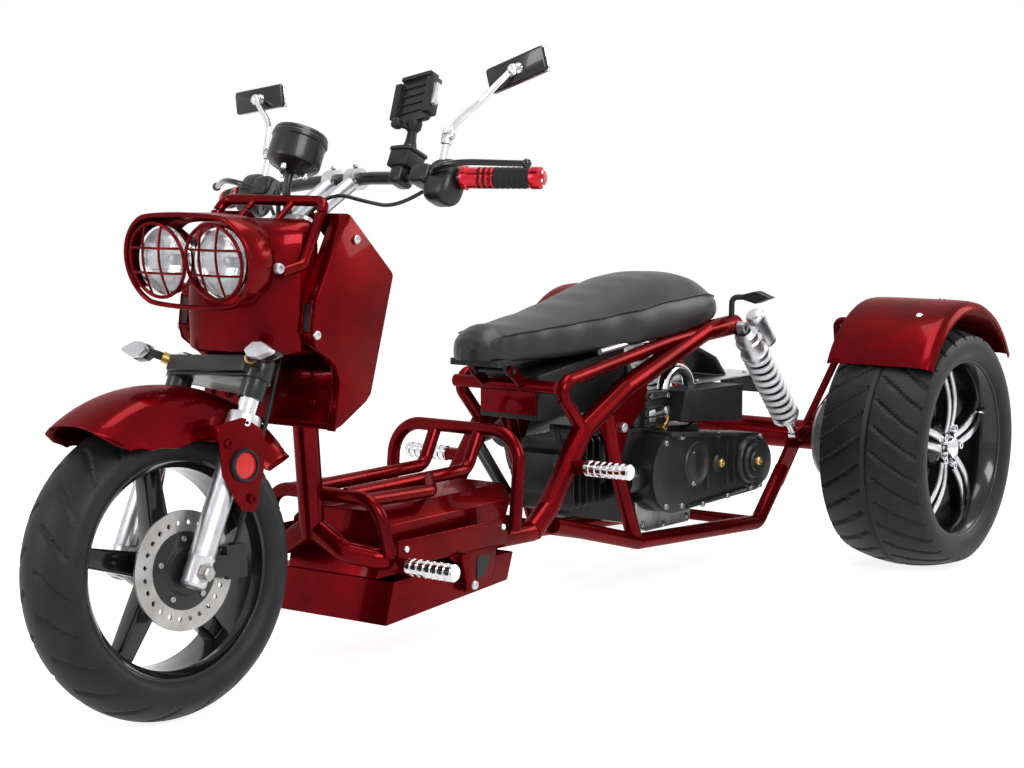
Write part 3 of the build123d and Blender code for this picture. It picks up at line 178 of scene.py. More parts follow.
steel = metal("brake_steel", (0.30, 0.29, 0.28), (0.44, 0.43, 0.42), 0.34, 700.0, 0.15)
brass = metal("brass", (0.50, 0.32, 0.10), (0.62, 0.42, 0.16), 0.35)
white_paint = painted("white_enamel", (0.62, 0.63, 0.65), (0.74, 0.75, 0.77), 0.0, 0.28, 0.6, 0.0)
hose_rubber = moulded("hose_rubber", (0.005, 0.005, 0.005), (0.010, 0.010, 0.010), 0.45, 800.0, 0.1, 0.0, spec=0.3)
tyre_rubber = moulded("tyre_rubber", (0.006, 0.006, 0.0065), (0.013, 0.013, 0.014), 0.52, 300.0, 0.15, 0.0, spec=0.22)
grip_rubber = moulded("grip_rubber", (0.006, 0.006, 0.006), (0.013, 0.013, 0.013), 0.7, 500.0, 0.3, spec=0.25)
mirror_glass = metal("mirror_glass", (0.78, 0.80, 0.82), (0.82, 0.84, 0.86), 0.03, 5.0, 0.0, 0.0)


def leather_material():
    mat, tree, shader = material("seat_leather", (0.010, 0.010, 0.011), 0.0, 0.42, spec=0.35)
    cell = tree.nodes.new("ShaderNodeTexVoronoi")
    cell.feature = "DISTANCE_TO_EDGE"
    cell.inputs["Scale"].default_value = 380.0
    tree.links.new(coords(tree), cell.inputs["Vector"])
    color = ramp(tree, noise(tree, 14.0), [(0.3, (0.005, 0.005, 0.0055)), (0.7, (0.011, 0.011, 0.012))])
    tree.links.new(color, shader.inputs["Base Color"])
    rough_from(tree, shader, noise(tree, 22.0), 0.34, 0.46)
    bump(tree, shader, cell.outputs["Distance"], 0.35, 0.0006)
    return mat


def lens_material(name, color, tint, rough=0.06, transmission=0.85):
    mat, tree, shader = material(name, color, 0.0, rough)
    shader.inputs["Transmission Weight"].default_value = transmission
    shader.inputs["IOR"].default_value = 1.46
    tree.links.new(ramp(tree, noise(tree, 40.0), [(0.3, color), (0.7, tint)]), shader.inputs["Base Color"])
    bump(tree, shader, noise(tree, 90.0, 1.0), 0.05, 0.0005)
    return mat


facets = moulded("lamp_reflector", (0.50, 0.50, 0.51), (0.86, 0.87, 0.88), 0.16, 110.0, 0.9, 0.0, 0.9)
signal_lens = moulded("signal_lens", (0.42, 0.42, 0.44), (0.66, 0.67, 0.69), 0.22, 240.0, 0.6, metallic=0.55)
# Metal of the thin ring on the rear rims' lip: machined, and in part a painted highlight along the lip's edge
lip_ring_highlight_metal = metal("lip_ring_machined_highlight", (0.20, 0.20, 0.21), (0.36, 0.36, 0.38), 0.20, 300.0, 0.05)
leather = leather_material()
clear_lens = lens_material("clear_lens", (0.90, 0.92, 0.94), (0.96, 0.97, 0.98))
red_lens = lens_material("red_lens", (0.62, 0.010, 0.008), (0.75, 0.02, 0.015), 0.12, 0.25)

WEAR = {
    "candy_red": candy, "chrome": chrome, "clear_lens": clear_lens, "black_plastic": black_plastic,
    "engine_black": black_cast, "black_steel": black_paint, "silver": silver, "white_steel": white_paint,
    "seat_leather": leather, "red_lens": red_lens, "rubber": grip_rubber, "tyre": tyre_rubber, "steel": steel,
    "machined": machined,
}
for row in frame["record"]["subparts"]:
    mesh = nodes[row["node"]].data
    mesh.materials.clear()
    mesh.materials.append(WEAR[row["material_slot"]])


# Building pieces
def wear(obj, mat):
    if obj.data.materials:
        obj.data.materials.clear()
    for m in mat if isinstance(mat, (list, tuple)) else (mat,):
        obj.data.materials.append(m)


def place(obj, mat, body, replaces=(), sharp=35.0):
    """Smooths, colours and mounts a piece that is already in the row frame."""
    wear(obj, mat)
    if obj.type == "MESH":
        obj.data.shade_smooth()
        obj.data.set_sharp_from_angle(angle=math.radians(sharp))
    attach(obj, body)
    if replaces:
        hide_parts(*replaces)
    return obj


def solid(name, verts, faces, mat, body, frame_of=ROW, replaces=(), sharp=35.0, bevel=0.0, segments=2, thick=0.0,
          subdiv=0):
    """A mesh piece from points in millimetres on a plane of its own."""
    mesh = bpy.data.meshes.new(name)
    mesh.from_pydata([frame_of @ mm(v) for v in verts], [], faces)
    mesh.validate()
    obj = bpy.data.objects.new(name, mesh)
    bpy.context.scene.collection.objects.link(obj)
    bm = bmesh.new()
    bm.from_mesh(mesh)
    bmesh.ops.recalc_face_normals(bm, faces=bm.faces)
    bm.to_mesh(mesh)
    bm.free()
    if thick:
        shell = obj.modifiers.new("shell", "SOLIDIFY")
        shell.thickness = thick / 1000.0
        shell.offset = 0
    if bevel:
        edge = obj.modifiers.new("edge", "BEVEL")
        edge.width = bevel / 1000.0
        edge.segments = segments
        edge.limit_method = "ANGLE"
        edge.angle_limit = math.radians(28)
    if subdiv:
        fine = obj.modifiers.new("fine", "SUBSURF")
        fine.levels = fine.render_levels = subdiv
    apply_all(obj)
    return place(obj, mat, body, replaces, sharp)


def apply_all(obj):
    if not obj.modifiers:
        return
    bpy.context.view_layer.update()
    done = bpy.data.meshes.new_from_object(obj.evaluated_get(bpy.context.evaluated_depsgraph_get()))
    obj.modifiers.clear()
    obj.data = done


def grid_faces(rows, cols, close_rows=False, close_cols=False):
    faces = []
    for i in range(rows if close_rows else rows - 1):
        for j in range(cols if close_cols else cols - 1):
            a, b = i, (i + 1) % rows
            c, d = j, (j + 1) % cols
            faces.append((a * cols + c, a * cols + d, b * cols + d, b * cols + c))
    return faces


def prism(name, outline, low, high, mat, body, frame_of=ROW, plane="XZ", **more):
    """A block from an outline: on XZ it runs along Y, on XY along Z, on YZ along X."""
    order = {"XZ": lambda a, b, c: (a, c, b), "XY": lambda a, b, c: (a, b, c), "YZ": lambda a, b, c: (c, a, b)}[plane]
    n = len(outline)
    verts = [order(a, b, c) for c in (low, high) for a, b in outline]
    faces = [tuple(range(n)), tuple(range(n, 2 * n))]
    faces += [(i, (i + 1) % n, (i + 1) % n + n, i + n) for i in range(n)]
    return solid(name, verts, faces, mat, body, frame_of, **more)


def lathe(name, profile, mat, body, frame_of, steps=64, sweep=360.0, start=0.0, close=True, **more):
    """A turned piece: a profile of (radius, place along Y) about the frame's own Y axis."""
    full = sweep >= 360
    count = steps if full else steps + 1
    verts = []
    for i in range(count):
        a = math.radians(start + sweep * i / steps)
        verts += [(r * math.cos(a), y, r * math.sin(a)) for r, y in profile]
    return solid(name, verts, grid_faces(count, len(profile), full, close), mat, body, frame_of, **more)


def tube(name, points, r, mat, body, frame_of=ROW, replaces=(), closed=False, smooth=True, sides=6):
    """A round bar along a smooth line through control points."""
    curve = bpy.data.curves.new(name, "CURVE")
    curve.dimensions = "3D"
    line = curve.splines.new("NURBS" if smooth else "POLY")
    line.points.add(len(points) - 1)
    for p, point in zip(line.points, points):
        p.co = (*(frame_of @ mm(point)), 1)
    if smooth:
        line.order_u = 3
        line.use_endpoint_u = not closed
    line.use_cyclic_u = closed
    curve.resolution_u = 8
    curve.bevel_depth = r / 1000.0
    curve.bevel_resolution = sides
    curve.use_fill_caps = True
    obj = bpy.data.objects.new(name, curve)
    bpy.context.scene.collection.objects.link(obj)
    curve.materials.append(mat)
    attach(obj, body)
    if replaces:
        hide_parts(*replaces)
    return obj


def join(name, parts, mat, body, replaces=(), sharp=35.0):
    """Several meshes made into one piece; each keeps its own material if mat is None."""
    bm = bmesh.new()
    mats = []
    for part in parts:
        start = len(bm.faces)
        bm.from_mesh(part.data)
        bm.faces.ensure_lookup_table()
        here = part.data.materials[0] if part.data.materials else None
        if here not in mats:
            mats.append(here)
        for face in bm.faces[start:]:
            face.material_index = mats.index(here)
    mesh = bpy.data.meshes.new(name)
    bm.to_mesh(mesh)
    bm.free()
    for part in parts:
        bpy.data.objects.remove(part)
    obj = bpy.data.objects.new(name, mesh)
    bpy.context.scene.collection.objects.link(obj)
    return place(obj, mats if mat is None else mat, body, replaces, sharp)


def bolts(name, places, r, mat, body, frame_of=ROW, tall=None):
    """Hexagon socket bolts: each place is (point, outward direction) in the frame of the piece."""
    tall = tall or r * 0.8
    verts, faces = [], []
    rings = [(1.0, 0.0), (1.0, 0.7), (0.85, 1.0), (0.5, 1.0), (0.45, 0.55)]
    for at, out in places:
        out = Vector(out).normalized()
        side = out.orthogonal().normalized()
        up = out.cross(side)
        base = len(verts)
        for share, lift in rings:
            count = 12
            for i in range(count):
                a = 2 * math.pi * i / count
                verts.append(tuple(Vector(at) + out * (lift * tall) + (side * math.cos(a) + up * math.sin(a)) * r * share))
        for k in range(len(rings) - 1):
            for i in range(12):
                faces.append((base + k * 12 + i, base + k * 12 + (i + 1) % 12, base + (k + 1) * 12 + (i + 1) % 12,
                              base + (k + 1) * 12 + i))
        faces.append(tuple(base + (len(rings) - 1) * 12 + i for i in range(12)))
        faces.append(tuple(base + i for i in range(12)))
    return solid(name, verts, faces, mat, body, frame_of)


def rounded(outline, r, steps=4):
    """A closed outline with its corners turned into arcs of about radius r."""
    points = []
    for i, corner in enumerate(outline):
        at = Vector(corner)
        into, away = Vector(outline[i - 1]) - at, Vector(outline[(i + 1) % len(outline)]) - at
        cut = min(r / math.tan(into.angle(away) / 2), 0.45 * into.length, 0.45 * away.length)
        start, end = at + into.normalized() * cut, at + away.normalized() * cut
        for k in range(steps + 1):
            t = k / steps
            points.append(tuple(start * (1 - t) ** 2 + at * (2 * t * (1 - t)) + end * t * t))
    return points


def strip(line, thick):
    """A closed outline as thick as told to the left of an open line of points."""
    back = []
    for i, point in enumerate(line):
        before, after = Vector(line[max(i - 1, 0)]), Vector(line[min(i + 1, len(line) - 1)])
        along = (after - before).normalized()
        back.append((point[0] - along.y * thick, point[1] + along.x * thick))
    return list(line) + back[::-1]


def blob(name, centre, halves, power, mat, body, frame_of=ROW, rows=14, cols=28, **more):
    """A box as round as its power is small: 2 is an egg, 8 nearly a block."""
    def bent(value):
        return math.copysign(abs(value) ** (2 / power), value)

    verts = []
    for i in range(rows):
        a = math.pi * (i + 0.5) / rows - math.pi / 2
        for j in range(cols):
            b = 2 * math.pi * j / cols
            point = (bent(math.cos(a)) * bent(math.cos(b)), bent(math.cos(a)) * bent(math.sin(b)), bent(math.sin(a)))
            verts.append(tuple(c + h * v for c, h, v in zip(centre, halves, point)))
    faces = grid_faces(rows, cols, False, True) + [tuple(range(cols)), tuple(range((rows - 1) * cols, rows * cols))]
    return solid(name, verts, faces, mat, body, frame_of, **more)


def turned(start, end, frame_of=ROW):
    """A frame with its Y axis along the line from start to end, for a lathe, and the line's length in mm."""
    a, b = frame_of @ mm(start), frame_of @ mm(end)
    along = (b - a).normalized()
    side = along.orthogonal().normalized()
    return basis(a, side, along, side.cross(along)), (b - a).length * 1000


# Cords, before the rest
HOSE = [(-80, -207, 710), (-50, -146, 702), (-14, -98, 700), (12, -56, 690), (26, -22, 657), (33, 6, 608),
        (31, 40, 548), (8, 56, 484), (-14, 58, 414), (-15, 61, 350), (-8, 78, 292), (2, 94, 232), (0, 96, 175),
        (-14, 86, 125), (-24, 76, 66)]
CABLE = [(-84, 202, 705), (-66, 170, 668), (-26, 132, 664), (0, 92, 668), (6, 54, 645), (2, 33, 614)]


def line_length(obj):
    flat = obj.copy()
    flat.data = obj.data.copy()
    flat.data.bevel_depth = 0
    bpy.context.scene.collection.objects.link(flat)
    mesh = bpy.data.meshes.new_from_object(flat)
    total = sum((mesh.vertices[e.vertices[0]].co - mesh.vertices[e.vertices[1]].co).length for e in mesh.edges)
    bpy.data.objects.remove(flat)
    return total


def cable(name, points, r, node):
    obj = tube(name, points, r, hose_rubber, "steering", FORK, (node,))
    line_length(obj)
    return obj


cable("brake_hose_line", HOSE, 4.0, "brake_hose")
cable("cable_left_line", CABLE, 3.2, "control_cable_left")
cable("cable_right_line", [(x, -y, z) for x, y, z in CABLE], 3.2, "control_cable_right")

# Tyres with their tread
def tyre_profile(width, r, bead_r, bead_share, crown_share, side_share=0.62, shoulder_share=0.93):
    """The same lobes as the solid's: a list of (radius, y) from bead to bead over the crown."""
    half = width / 2
    shoulder_r = r - half * crown_share
    side_r = bead_r + (shoulder_r - bead_r) * side_share
    shoulder = half * shoulder_share

    def arc(p, q, s, count):
        (ax, ay), (bx, by), (cx, cy) = p, q, s
        d = 2 * (ax * (by - cy) + bx * (cy - ay) + cx * (ay - by))
        ux = ((ax * ax + ay * ay) * (by - cy) + (bx * bx + by * by) * (cy - ay) + (cx * cx + cy * cy) * (ay - by)) / d
        uy = ((ax * ax + ay * ay) * (cx - bx) + (bx * bx + by * by) * (ax - cx) + (cx * cx + cy * cy) * (bx - ax)) / d
        rad = math.hypot(ax - ux, ay - uy)
        a0, a1, a2 = (math.atan2(y - uy, x - ux) for x, y in (p, q, s))
        turn = (a2 - a0) % (2 * math.pi)
        if (a1 - a0) % (2 * math.pi) > turn:
            turn -= 2 * math.pi
        return [(ux + rad * math.cos(a0 + turn * i / count), uy + rad * math.sin(a0 + turn * i / count))
                for i in range(count + 1)]

    side = arc((half * bead_share, bead_r), (half, side_r), (shoulder, shoulder_r), 8)
    crown = arc((shoulder, shoulder_r), (0, r), (-shoulder, shoulder_r), 28)
    left = side + crown[1:15]
    return [(rad, y) for y, rad in left] + [(rad, -y) for y, rad in reversed(left[:-1])]


def tyre_piece(name, width, r, bead_r, bead_share, crown_share, body, frame_of, groove, steps, node, middle=0.0):
    """A tyre whose grooves are pressed in where groove(y share, turn share) is deep."""
    profile = tyre_profile(width, r, bead_r, bead_share, crown_share)
    inner = [(bead_r + 1, -width * bead_share / 2 * 0.9), (bead_r + 1, width * bead_share / 2 * 0.9)]
    verts = []
    for i in range(steps):
        a = 2 * math.pi * i / steps
        for rad, y in profile:
            deep = groove(2 * y / width, i / steps, (rad - bead_r) / (r - bead_r))
            rr = rad - deep
            verts.append((rr * math.cos(a), y + middle, rr * math.sin(a)))
        for rad, y in inner:
            verts.append((rad * math.cos(a), y + middle, rad * math.sin(a)))
    cols = len(profile) + len(inner)
    return solid(name, verts, grid_faces(steps, cols, True, True), tyre_rubber, body, frame_of, (node,), sharp=28.0)


def front_groove(y, turn, high):
    """Curved cuts that sweep back from the middle to each shoulder, twenty-two a turn on each side."""
    if high < 0.52:
        return 1.2 if abs(high - 0.16) < 0.035 else 0.0
    side = 1 if y > 0 else -1
    phase = (turn * 22 + (0.5 if side < 0 else 0.0) + 0.9 * abs(y) ** 1.6) % 1.0
    near = abs(phase - 0.5)
    if 0.16 < abs(y) < 0.92 and near < 0.07:
        return 4.0 * (1 - near / 0.07 * 0.35)
    return 0.0


def rear_groove(y, turn, high):
    """A directional pattern: long slanted cuts from near the middle out over the shoulders."""
    if high < 0.60:
        return 1.5 if abs(high - 0.14) < 0.035 else 0.0
    if abs(y) < 0.035:
        return 4.5
    phase = (turn * 30 + 1.5 * abs(y) ** 0.9 + (0.5 if y < 0 else 0.0)) % 1.0
    near = abs(phase - 0.5)
    if 0.10 < abs(y) < 0.95 and near < 0.085:
        return 5.0 * (1 - near / 0.085 * 0.3)
    return 0.0


tyre_piece("front_tyre_treaded", 130, 243.4, 175.5, 0.80, 0.46, "front_wheel", WHEEL, front_groove, 440, "front_tyre")
for side, name in ((1, "left"), (-1, "right")):
    tyre_piece("rear_tyre_treaded_" + name, 237, 260.4, 183, 0.86, 0.17, "rear_axle", REAR, rear_groove, 600,
               "rear_tyre_" + name, side * (295 + 118.5))


# Rims
def ring_band(outline_r, y_low, y_high, thick):
    return [(outline_r, y_low), (outline_r, y_high), (outline_r - thick, y_high), (outline_r - thick, y_low)]


def spoke(base_r, tip_r, base_w, tip_w, y0, y1, y_tip0, y_tip1, angle, split=0.0):
    """Points and faces of one tapering arm, out along X then turned by angle about Y."""
    c, s = math.cos(angle), math.sin(angle)
    rows = []
    for share in (0.0, 0.35, 0.7, 1.0):
        r = base_r + (tip_r - base_r) * share
        w = base_w + (tip_w - base_w) * share
        lo = y0 + (y_tip0 - y0) * share
        hi = y1 + (y_tip1 - y1) * share
        off = split * share
        rows.append([(r, lo, off - w / 2), (r, lo, off + w / 2), (r, hi - 4, off + w / 2), (r, hi, off + w / 2 - 5),
                     (r, hi, off - w / 2 + 5), (r, hi - 4, off - w / 2)])
    verts = [(x * c - z * s, y, x * s + z * c) for row in rows for x, y, z in row]
    faces = grid_faces(4, 6, False, True) + [tuple(range(6)), tuple(range(18, 24))]
    return verts, faces


def gather(pieces):
    verts, faces = [], []
    for vs, fs in pieces:
        base = len(verts)
        verts += vs
        faces += [tuple(i + base for i in f) for f in fs]
    return verts, faces


front_profile = [(179, -52), (171, -50), (168, -44), (160, -36), (157, -10), (157, 10), (160, 36), (168, 44), (171, 50),
                 (179, 52), (181, 54), (182, 50), (178, 44), (178, -44), (182, -50), (181, -54)]
rim = lathe("front_rim_band", front_profile, black_gloss, "front_wheel", WHEEL, 96, sharp=50)
verts, faces = gather([spoke(30, 160, 42, 30, -18, 22, -15, 15, 2 * math.pi * (i + 0.2) / 5) for i in range(5)])
arms = solid("front_rim_arms", verts, faces, black_gloss, "front_wheel", WHEEL, bevel=2.5)
hub = lathe("front_rim_hub", [(12, -60), (30, -60), (34, -52), (34, -30), (42, -22), (44, 0), (42, 22), (36, 30), (36, 60),
                              (12, 60)], black_gloss, "front_wheel", WHEEL, 48)
join("front_wheel_casting", [rim, arms, hub], None, "front_wheel", ("front_rim",))

disc_rings = []
holes = []
for i in range(24):
    a = 2 * math.pi * i / 24
    r = 76 + 9 * math.sin(i * 2.1)
    holes.append((r * math.cos(a), r * math.sin(a)))
lathe("front_disc_carrier", [(14, 60), (58, 60), (62, 62), (62, 66), (56, 68), (40, 70), (36, 76), (14, 76)],
      black_paint, "front_wheel", WHEEL, 48)
bolts("front_disc_bolts", [((50 * math.cos(a), 68, 50 * math.sin(a)), (0, 1, 0))
                           for a in (2 * math.pi * k / 5 + 0.3 for k in range(5))], 5, steel, "front_wheel", WHEEL)

# Rear rims: a black dish, five pairs of bowed arms with bare faces, a chrome cap and nuts
def bowed_arm(angle, shift, wide, low_y, high_y, bow, base_r=34, tip_r=176):
    """One arm with its own bow outwards; returns points and faces."""
    c, s = math.cos(angle), math.sin(angle)
    rows = []
    for k in range(9):
        t = k / 8
        r = base_r + (tip_r - base_r) * t
        lift = bow * math.sin(math.pi * (0.15 + 0.85 * t))
        off = shift * (0.75 + 0.5 * t)
        rows.append([(r, low_y + lift, off - wide / 2), (r, low_y + lift, off + wide / 2),
                     (r, high_y + lift, off + wide / 2), (r, high_y + lift, off - wide / 2)])
    verts = [(x * c - z * s, y, x * s + z * c) for row in rows for x, y, z in row]
    return verts, grid_faces(9, 4, False, True) + [(0, 1, 2, 3), (32, 33, 34, 35)]


for side, name in ((1, "left"), (-1, "right")):
    frame_of = REAR @ Matrix.Scale(side, 4, Vector((0, 1, 0)))
    inside, outside = 413.5 - 102, 413.5 + 102
    barrel = [(183, inside), (186, inside - 2), (191, inside), (191, inside + 6), (181, inside + 12), (176, inside + 30),
              (176, outside - 44), (181, outside - 20), (184, outside - 8), (191, outside - 6), (192, outside + 1),
              (188, outside + 3), (182, outside - 2), (178, outside - 12), (172, outside - 22), (169, outside - 40),
              (166, 455), (168, 430), (170, inside + 10), (175, inside + 2)]
    dish = lathe("rear_barrel", barrel, black_gloss, "rear_axle", frame_of, 96, sharp=40)
    # Partly painted highlight: a thin ring of lighter machined metal gives the bright line along the black lip
    ring = lathe("rear_lip", [(186, outside + 2.6), (189.5, outside + 2.4), (189.5, outside + 3.4), (186, outside + 3.6)],
                 lip_ring_highlight_metal, "rear_axle", frame_of, 96)
    spots = [(2 * math.pi * (k + 0.22) / 5, shift) for k in range(5) for shift in (-14, 14)]
    verts, faces = gather([bowed_arm(angle, shift, 19, 448, 476, 17) for angle, shift in spots])
    arms = solid("rear_arms", verts, faces, black_gloss, "rear_axle", frame_of, bevel=2.0)
    verts, faces = gather([bowed_arm(angle, shift, 13, 474, 478, 17) for angle, shift in spots])
    strips = solid("rear_arm_faces", verts, faces, machined, "rear_axle", frame_of, bevel=0.8)
    web = lathe("rear_web", [(17.5, 430), (60, 430), (64, 436), (64, 458), (56, 474), (46, 480), (17.5, 480)],
                black_gloss, "rear_axle", frame_of, 48)
    cap = lathe("rear_cap", [(0.5, 505), (14, 504), (22, 499), (26, 489), (28, 476), (0.5, 476)], chrome, "rear_axle",
                frame_of, 40)
    nuts = bolts("rear_nuts", [((42 * math.cos(a), 478, 42 * math.sin(a)), (0, 1, 0))
                               for a in (2 * math.pi * (k + 0.5) / 5 for k in range(5))], 9, chrome, "rear_axle",
                 frame_of, 18)
    valve = lathe("rear_valve", [(0.5, 0), (3, 0), (3, 24), (0.5, 24)], chrome, "rear_axle",
                  frame_of @ Matrix.Translation(mm((-150, 474, 60))), 10)
    join("rear_wheel_casting_" + name, [dish, ring, arms, strips, web, cap, nuts, valve], None, "rear_axle",
         ("rear_rim_" + name,))

# Plates, boxes and castings with softened edges
def softened(node, width, mat=None, segments=3, body="chassis", sharp=32.0):
    """A copy of a CAD node's mesh with rounded edges, in the node's place."""
    mesh = nodes[node].data.copy()
    obj = bpy.data.objects.new(node + "_soft", mesh)
    scene_of.objects.link(obj)
    bm = bmesh.new()
    bm.from_mesh(mesh)
    bmesh.ops.remove_doubles(bm, verts=bm.verts, dist=0.00002)
    bmesh.ops.dissolve_limit(bm, angle_limit=math.radians(2.0), verts=bm.verts, edges=bm.edges)
    bm.to_mesh(mesh)
    bm.free()
    edge = obj.modifiers.new("edge", "BEVEL")
    edge.width = width / 1000.0
    edge.segments = segments
    edge.limit_method = "ANGLE"
    edge.angle_limit = math.radians(35)
    edge.use_clamp_overlap = True
    apply_all(obj)
    return place(obj, mat or nodes[node].data.materials[0], body, (node,), sharp)


scene_of = bpy.context.scene.collection
for node, width in (("floor_box", 5.0), ("side_plates", 1.4), ("tool_box", 6.0), ("engine_block", 6.0),
                    ("drive_cover", 9.0), ("air_box", 8.0), ("peg_mounts", 2.0)):
    softened(node, width)
crown = softened("fork_crown", 4.0, black_paint, body="steering")


# Leg shield: side walls with an inward flange along the front, a back wall with room for the steering
SHIELD = [(654, 801), (733, 661), (741, 606), (736, 586), (688, 553), (676, 524), (692, 443), (612, 486), (599, 498),
          (538, 693)]
SHIELD_HALF = 150
UPPER_EDGE = [(656, 796), (696, 727), (732, 661), (740, 606), (735, 588)]
LOWER_EDGE = [(735, 588), (712, 571), (689, 553), (680, 542), (676, 524), (684, 484), (691, 445)]
BACK_LOW = [(690, 446), (612, 488), (600, 500), (570, 594), (540, 692), (565, 716)]
BACK_HIGH = [(565, 716), (610, 757), (652, 797)]
parts = []
for side in (1, -1):
    low, high = sorted((side * (SHIELD_HALF - 3.5), side * SHIELD_HALF))
    parts.append(prism("side", rounded(SHIELD, 11), low, high, candy, "chassis", bevel=1.4))
    low, high = sorted((side * 118, side * (SHIELD_HALF - 1)))
    parts.append(prism("flange", strip(UPPER_EDGE, -3.5), low, high, candy, "chassis", bevel=1.2))
    low, high = sorted((side * 132, side * (SHIELD_HALF - 1)))
    parts.append(prism("lower_flange", strip(LOWER_EDGE, -3.5), low, high, candy, "chassis", bevel=1.2))
    low, high = sorted((side * 64, side * (SHIELD_HALF - 1)))
    parts.append(prism("back_top", strip(BACK_HIGH, -3.5), low, high, candy, "chassis", bevel=1.2))
parts.append(prism("back", strip(BACK_LOW, -3.5), -SHIELD_HALF + 1, SHIELD_HALF - 1, candy, "chassis", bevel=1.2))
parts.append(prism("apron", [(679, 447), (682, 447), (676, 540), (673, 540)], -133, 133, candy, "chassis", bevel=1.2))
join("leg_shield_shell", parts, candy, "chassis", ("leg_shield",))
for side, name in ((1, "left"), (-1, "right")):
    # Painted shade: the black strip stands in for the shade inside each slot; the red tube is the slot's rim
    low, high = sorted((side * 129, side * 143))
    prism("shield_slot_" + name, strip([(735.5, 655), (742, 612)], 1.4), low, high, black_plastic, "chassis", bevel=0.5)
    rim = [(737.5, side * 127, 659), (744.5, side * 127, 608), (744.5, side * 145, 608), (737.5, side * 145, 659)]
    tube("shield_slot_rim_" + name, rim, 1.6, candy, "chassis", closed=True, smooth=False, sides=3)
bolts("shield_screws", [((x, side * 149.5, z), (0, side, 0)) for side in (1, -1) for x, z in ((634, 754), (734, 605))],
      7.5, silver, "chassis", tall=5)
bolts("apron_screws", [((681, y, 489), (1, 0, 0)) for y in (-96, 96)], 6, candy, "chassis", tall=4)


# Front cowl: a sheet nose that is round in plan
COWL = [(581, 786, 722, 108), (574, 798, 731, 115), (578, 803, 736, 118), (640, 806, 739, 118), (700, 800, 736, 118),
        (745, 789, 732, 118), (764, 783, 729, 117), (775, 776, 723, 113), (782, 764, 714, 106), (785, 745, 706, 98),
        (787, 706, 694, 90)]
verts = []
count = 30
for z, middle_x, side_x, half in COWL:
    for j in range(count + 1):
        t = 2 * j / count - 1
        if j in (0, count):
            verts.append((694, half * t, z))
        else:
            t = max(-1, min(1, t * count / (count - 2)))
            verts.append((side_x + (middle_x - side_x) * (1 - abs(t) ** 2.6), half * math.copysign(abs(t) ** 0.9, t), z))
solid("front_cowl_shell", verts, grid_faces(len(COWL), count + 1), candy, "chassis", replaces=("front_cowl",), thick=3,
      sharp=32)
for side, name in ((1, "left"), (-1, "right")):
    crease = [(798, side * 20, 640), (803, side * 17, 604), (798, side * 30, 577)]
    tube("cowl_crease_" + name, crease, 3.0, candy, "chassis", sides=3)
    lathe("lamp_boss_" + name, [(0.5, 0), (12, 0), (12, 16), (0.5, 16)], candy, "chassis",
          basis(mm((785, side * 62, 724.5)), Vector((0, 1, 0)), Vector((1, 0, 0)), Vector((0, 0, -1))), 20)
bolts("hood_side_bolts", [((812, side * 138, 715), (0, side, 0)) for side in (1, -1)], 9, silver, "chassis", tall=9)

# Seat cushion
def table_at(table, x):
    """A value between the rows (x, value) of a table, smoothly."""
    rows = sorted(table)
    if x <= rows[0][0]:
        return rows[0][1]
    for (x0, v0), (x1, v1) in zip(rows, rows[1:]):
        if x <= x1:
            t = (x - x0) / (x1 - x0)
            t = t * t * (3 - 2 * t)
            return v0 + (v1 - v0) * t
    return rows[-1][1]


SEAT_TOP = [(150, 531), (140, 550), (120, 563), (100, 568), (40, 566), (-60, 577), (-160, 594), (-240, 611), (-300, 625),
            (-360, 636), (-430, 641), (-500, 638), (-560, 629), (-610, 611), (-646, 584)]
SEAT_SEAM = [(150, 528), (136, 542), (104, 551), (40, 556), (-60, 562), (-142, 568), (-264, 578), (-376, 592),
             (-500, 598), (-590, 588), (-646, 568)]
SEAT_LOW = [(150, 508), (40, 504), (-60, 502), (-196, 506), (-342, 518), (-456, 532), (-560, 546), (-646, 556)]
SEAT_HALF = [(150, 12), (142, 30), (128, 46), (100, 58), (60, 68), (0, 80), (-100, 95), (-200, 112), (-300, 130),
             (-400, 139), (-500, 139), (-540, 133), (-580, 114), (-620, 82), (-646, 36)]


def cushion():
    rows = 60
    verts = []
    for i in range(rows):
        share = 0.5 - 0.5 * math.cos(math.pi * i / (rows - 1))
        x = 150 - share * 796
        top, seam, low, half = (table_at(table, x) for table in (SEAT_TOP, SEAT_SEAM, SEAT_LOW, SEAT_HALF))
        crown, wall = top - seam, seam - low
        right = [(0.0, top), (0.22, top - 0.03 * crown), (0.42, top - 0.13 * crown), (0.60, top - 0.34 * crown),
                 (0.75, top - 0.64 * crown), (0.86, top - 0.93 * crown), (0.90, seam), (0.935, seam - 0.08 * wall),
                 (0.97, seam - 0.22 * wall), (0.99, seam - 0.42 * wall), (1.0, seam - 0.62 * wall),
                 (0.985, seam - 0.82 * wall), (0.95, seam - 0.95 * wall), (0.90, low), (0.5, low + 1), (0.0, low + 1)]
        verts += [(x, half * y, z) for y, z in right] + [(x, -half * y, z) for y, z in right[-2:0:-1]]
    cols = len(verts) // rows
    faces = grid_faces(rows, cols, False, True) + [tuple(range(cols)), tuple(range((rows - 1) * cols, rows * cols))]
    return solid("seat_cushion", verts, faces, leather, "seat", replaces=("seat_pad",), subdiv=1, sharp=60)


seat = cushion()


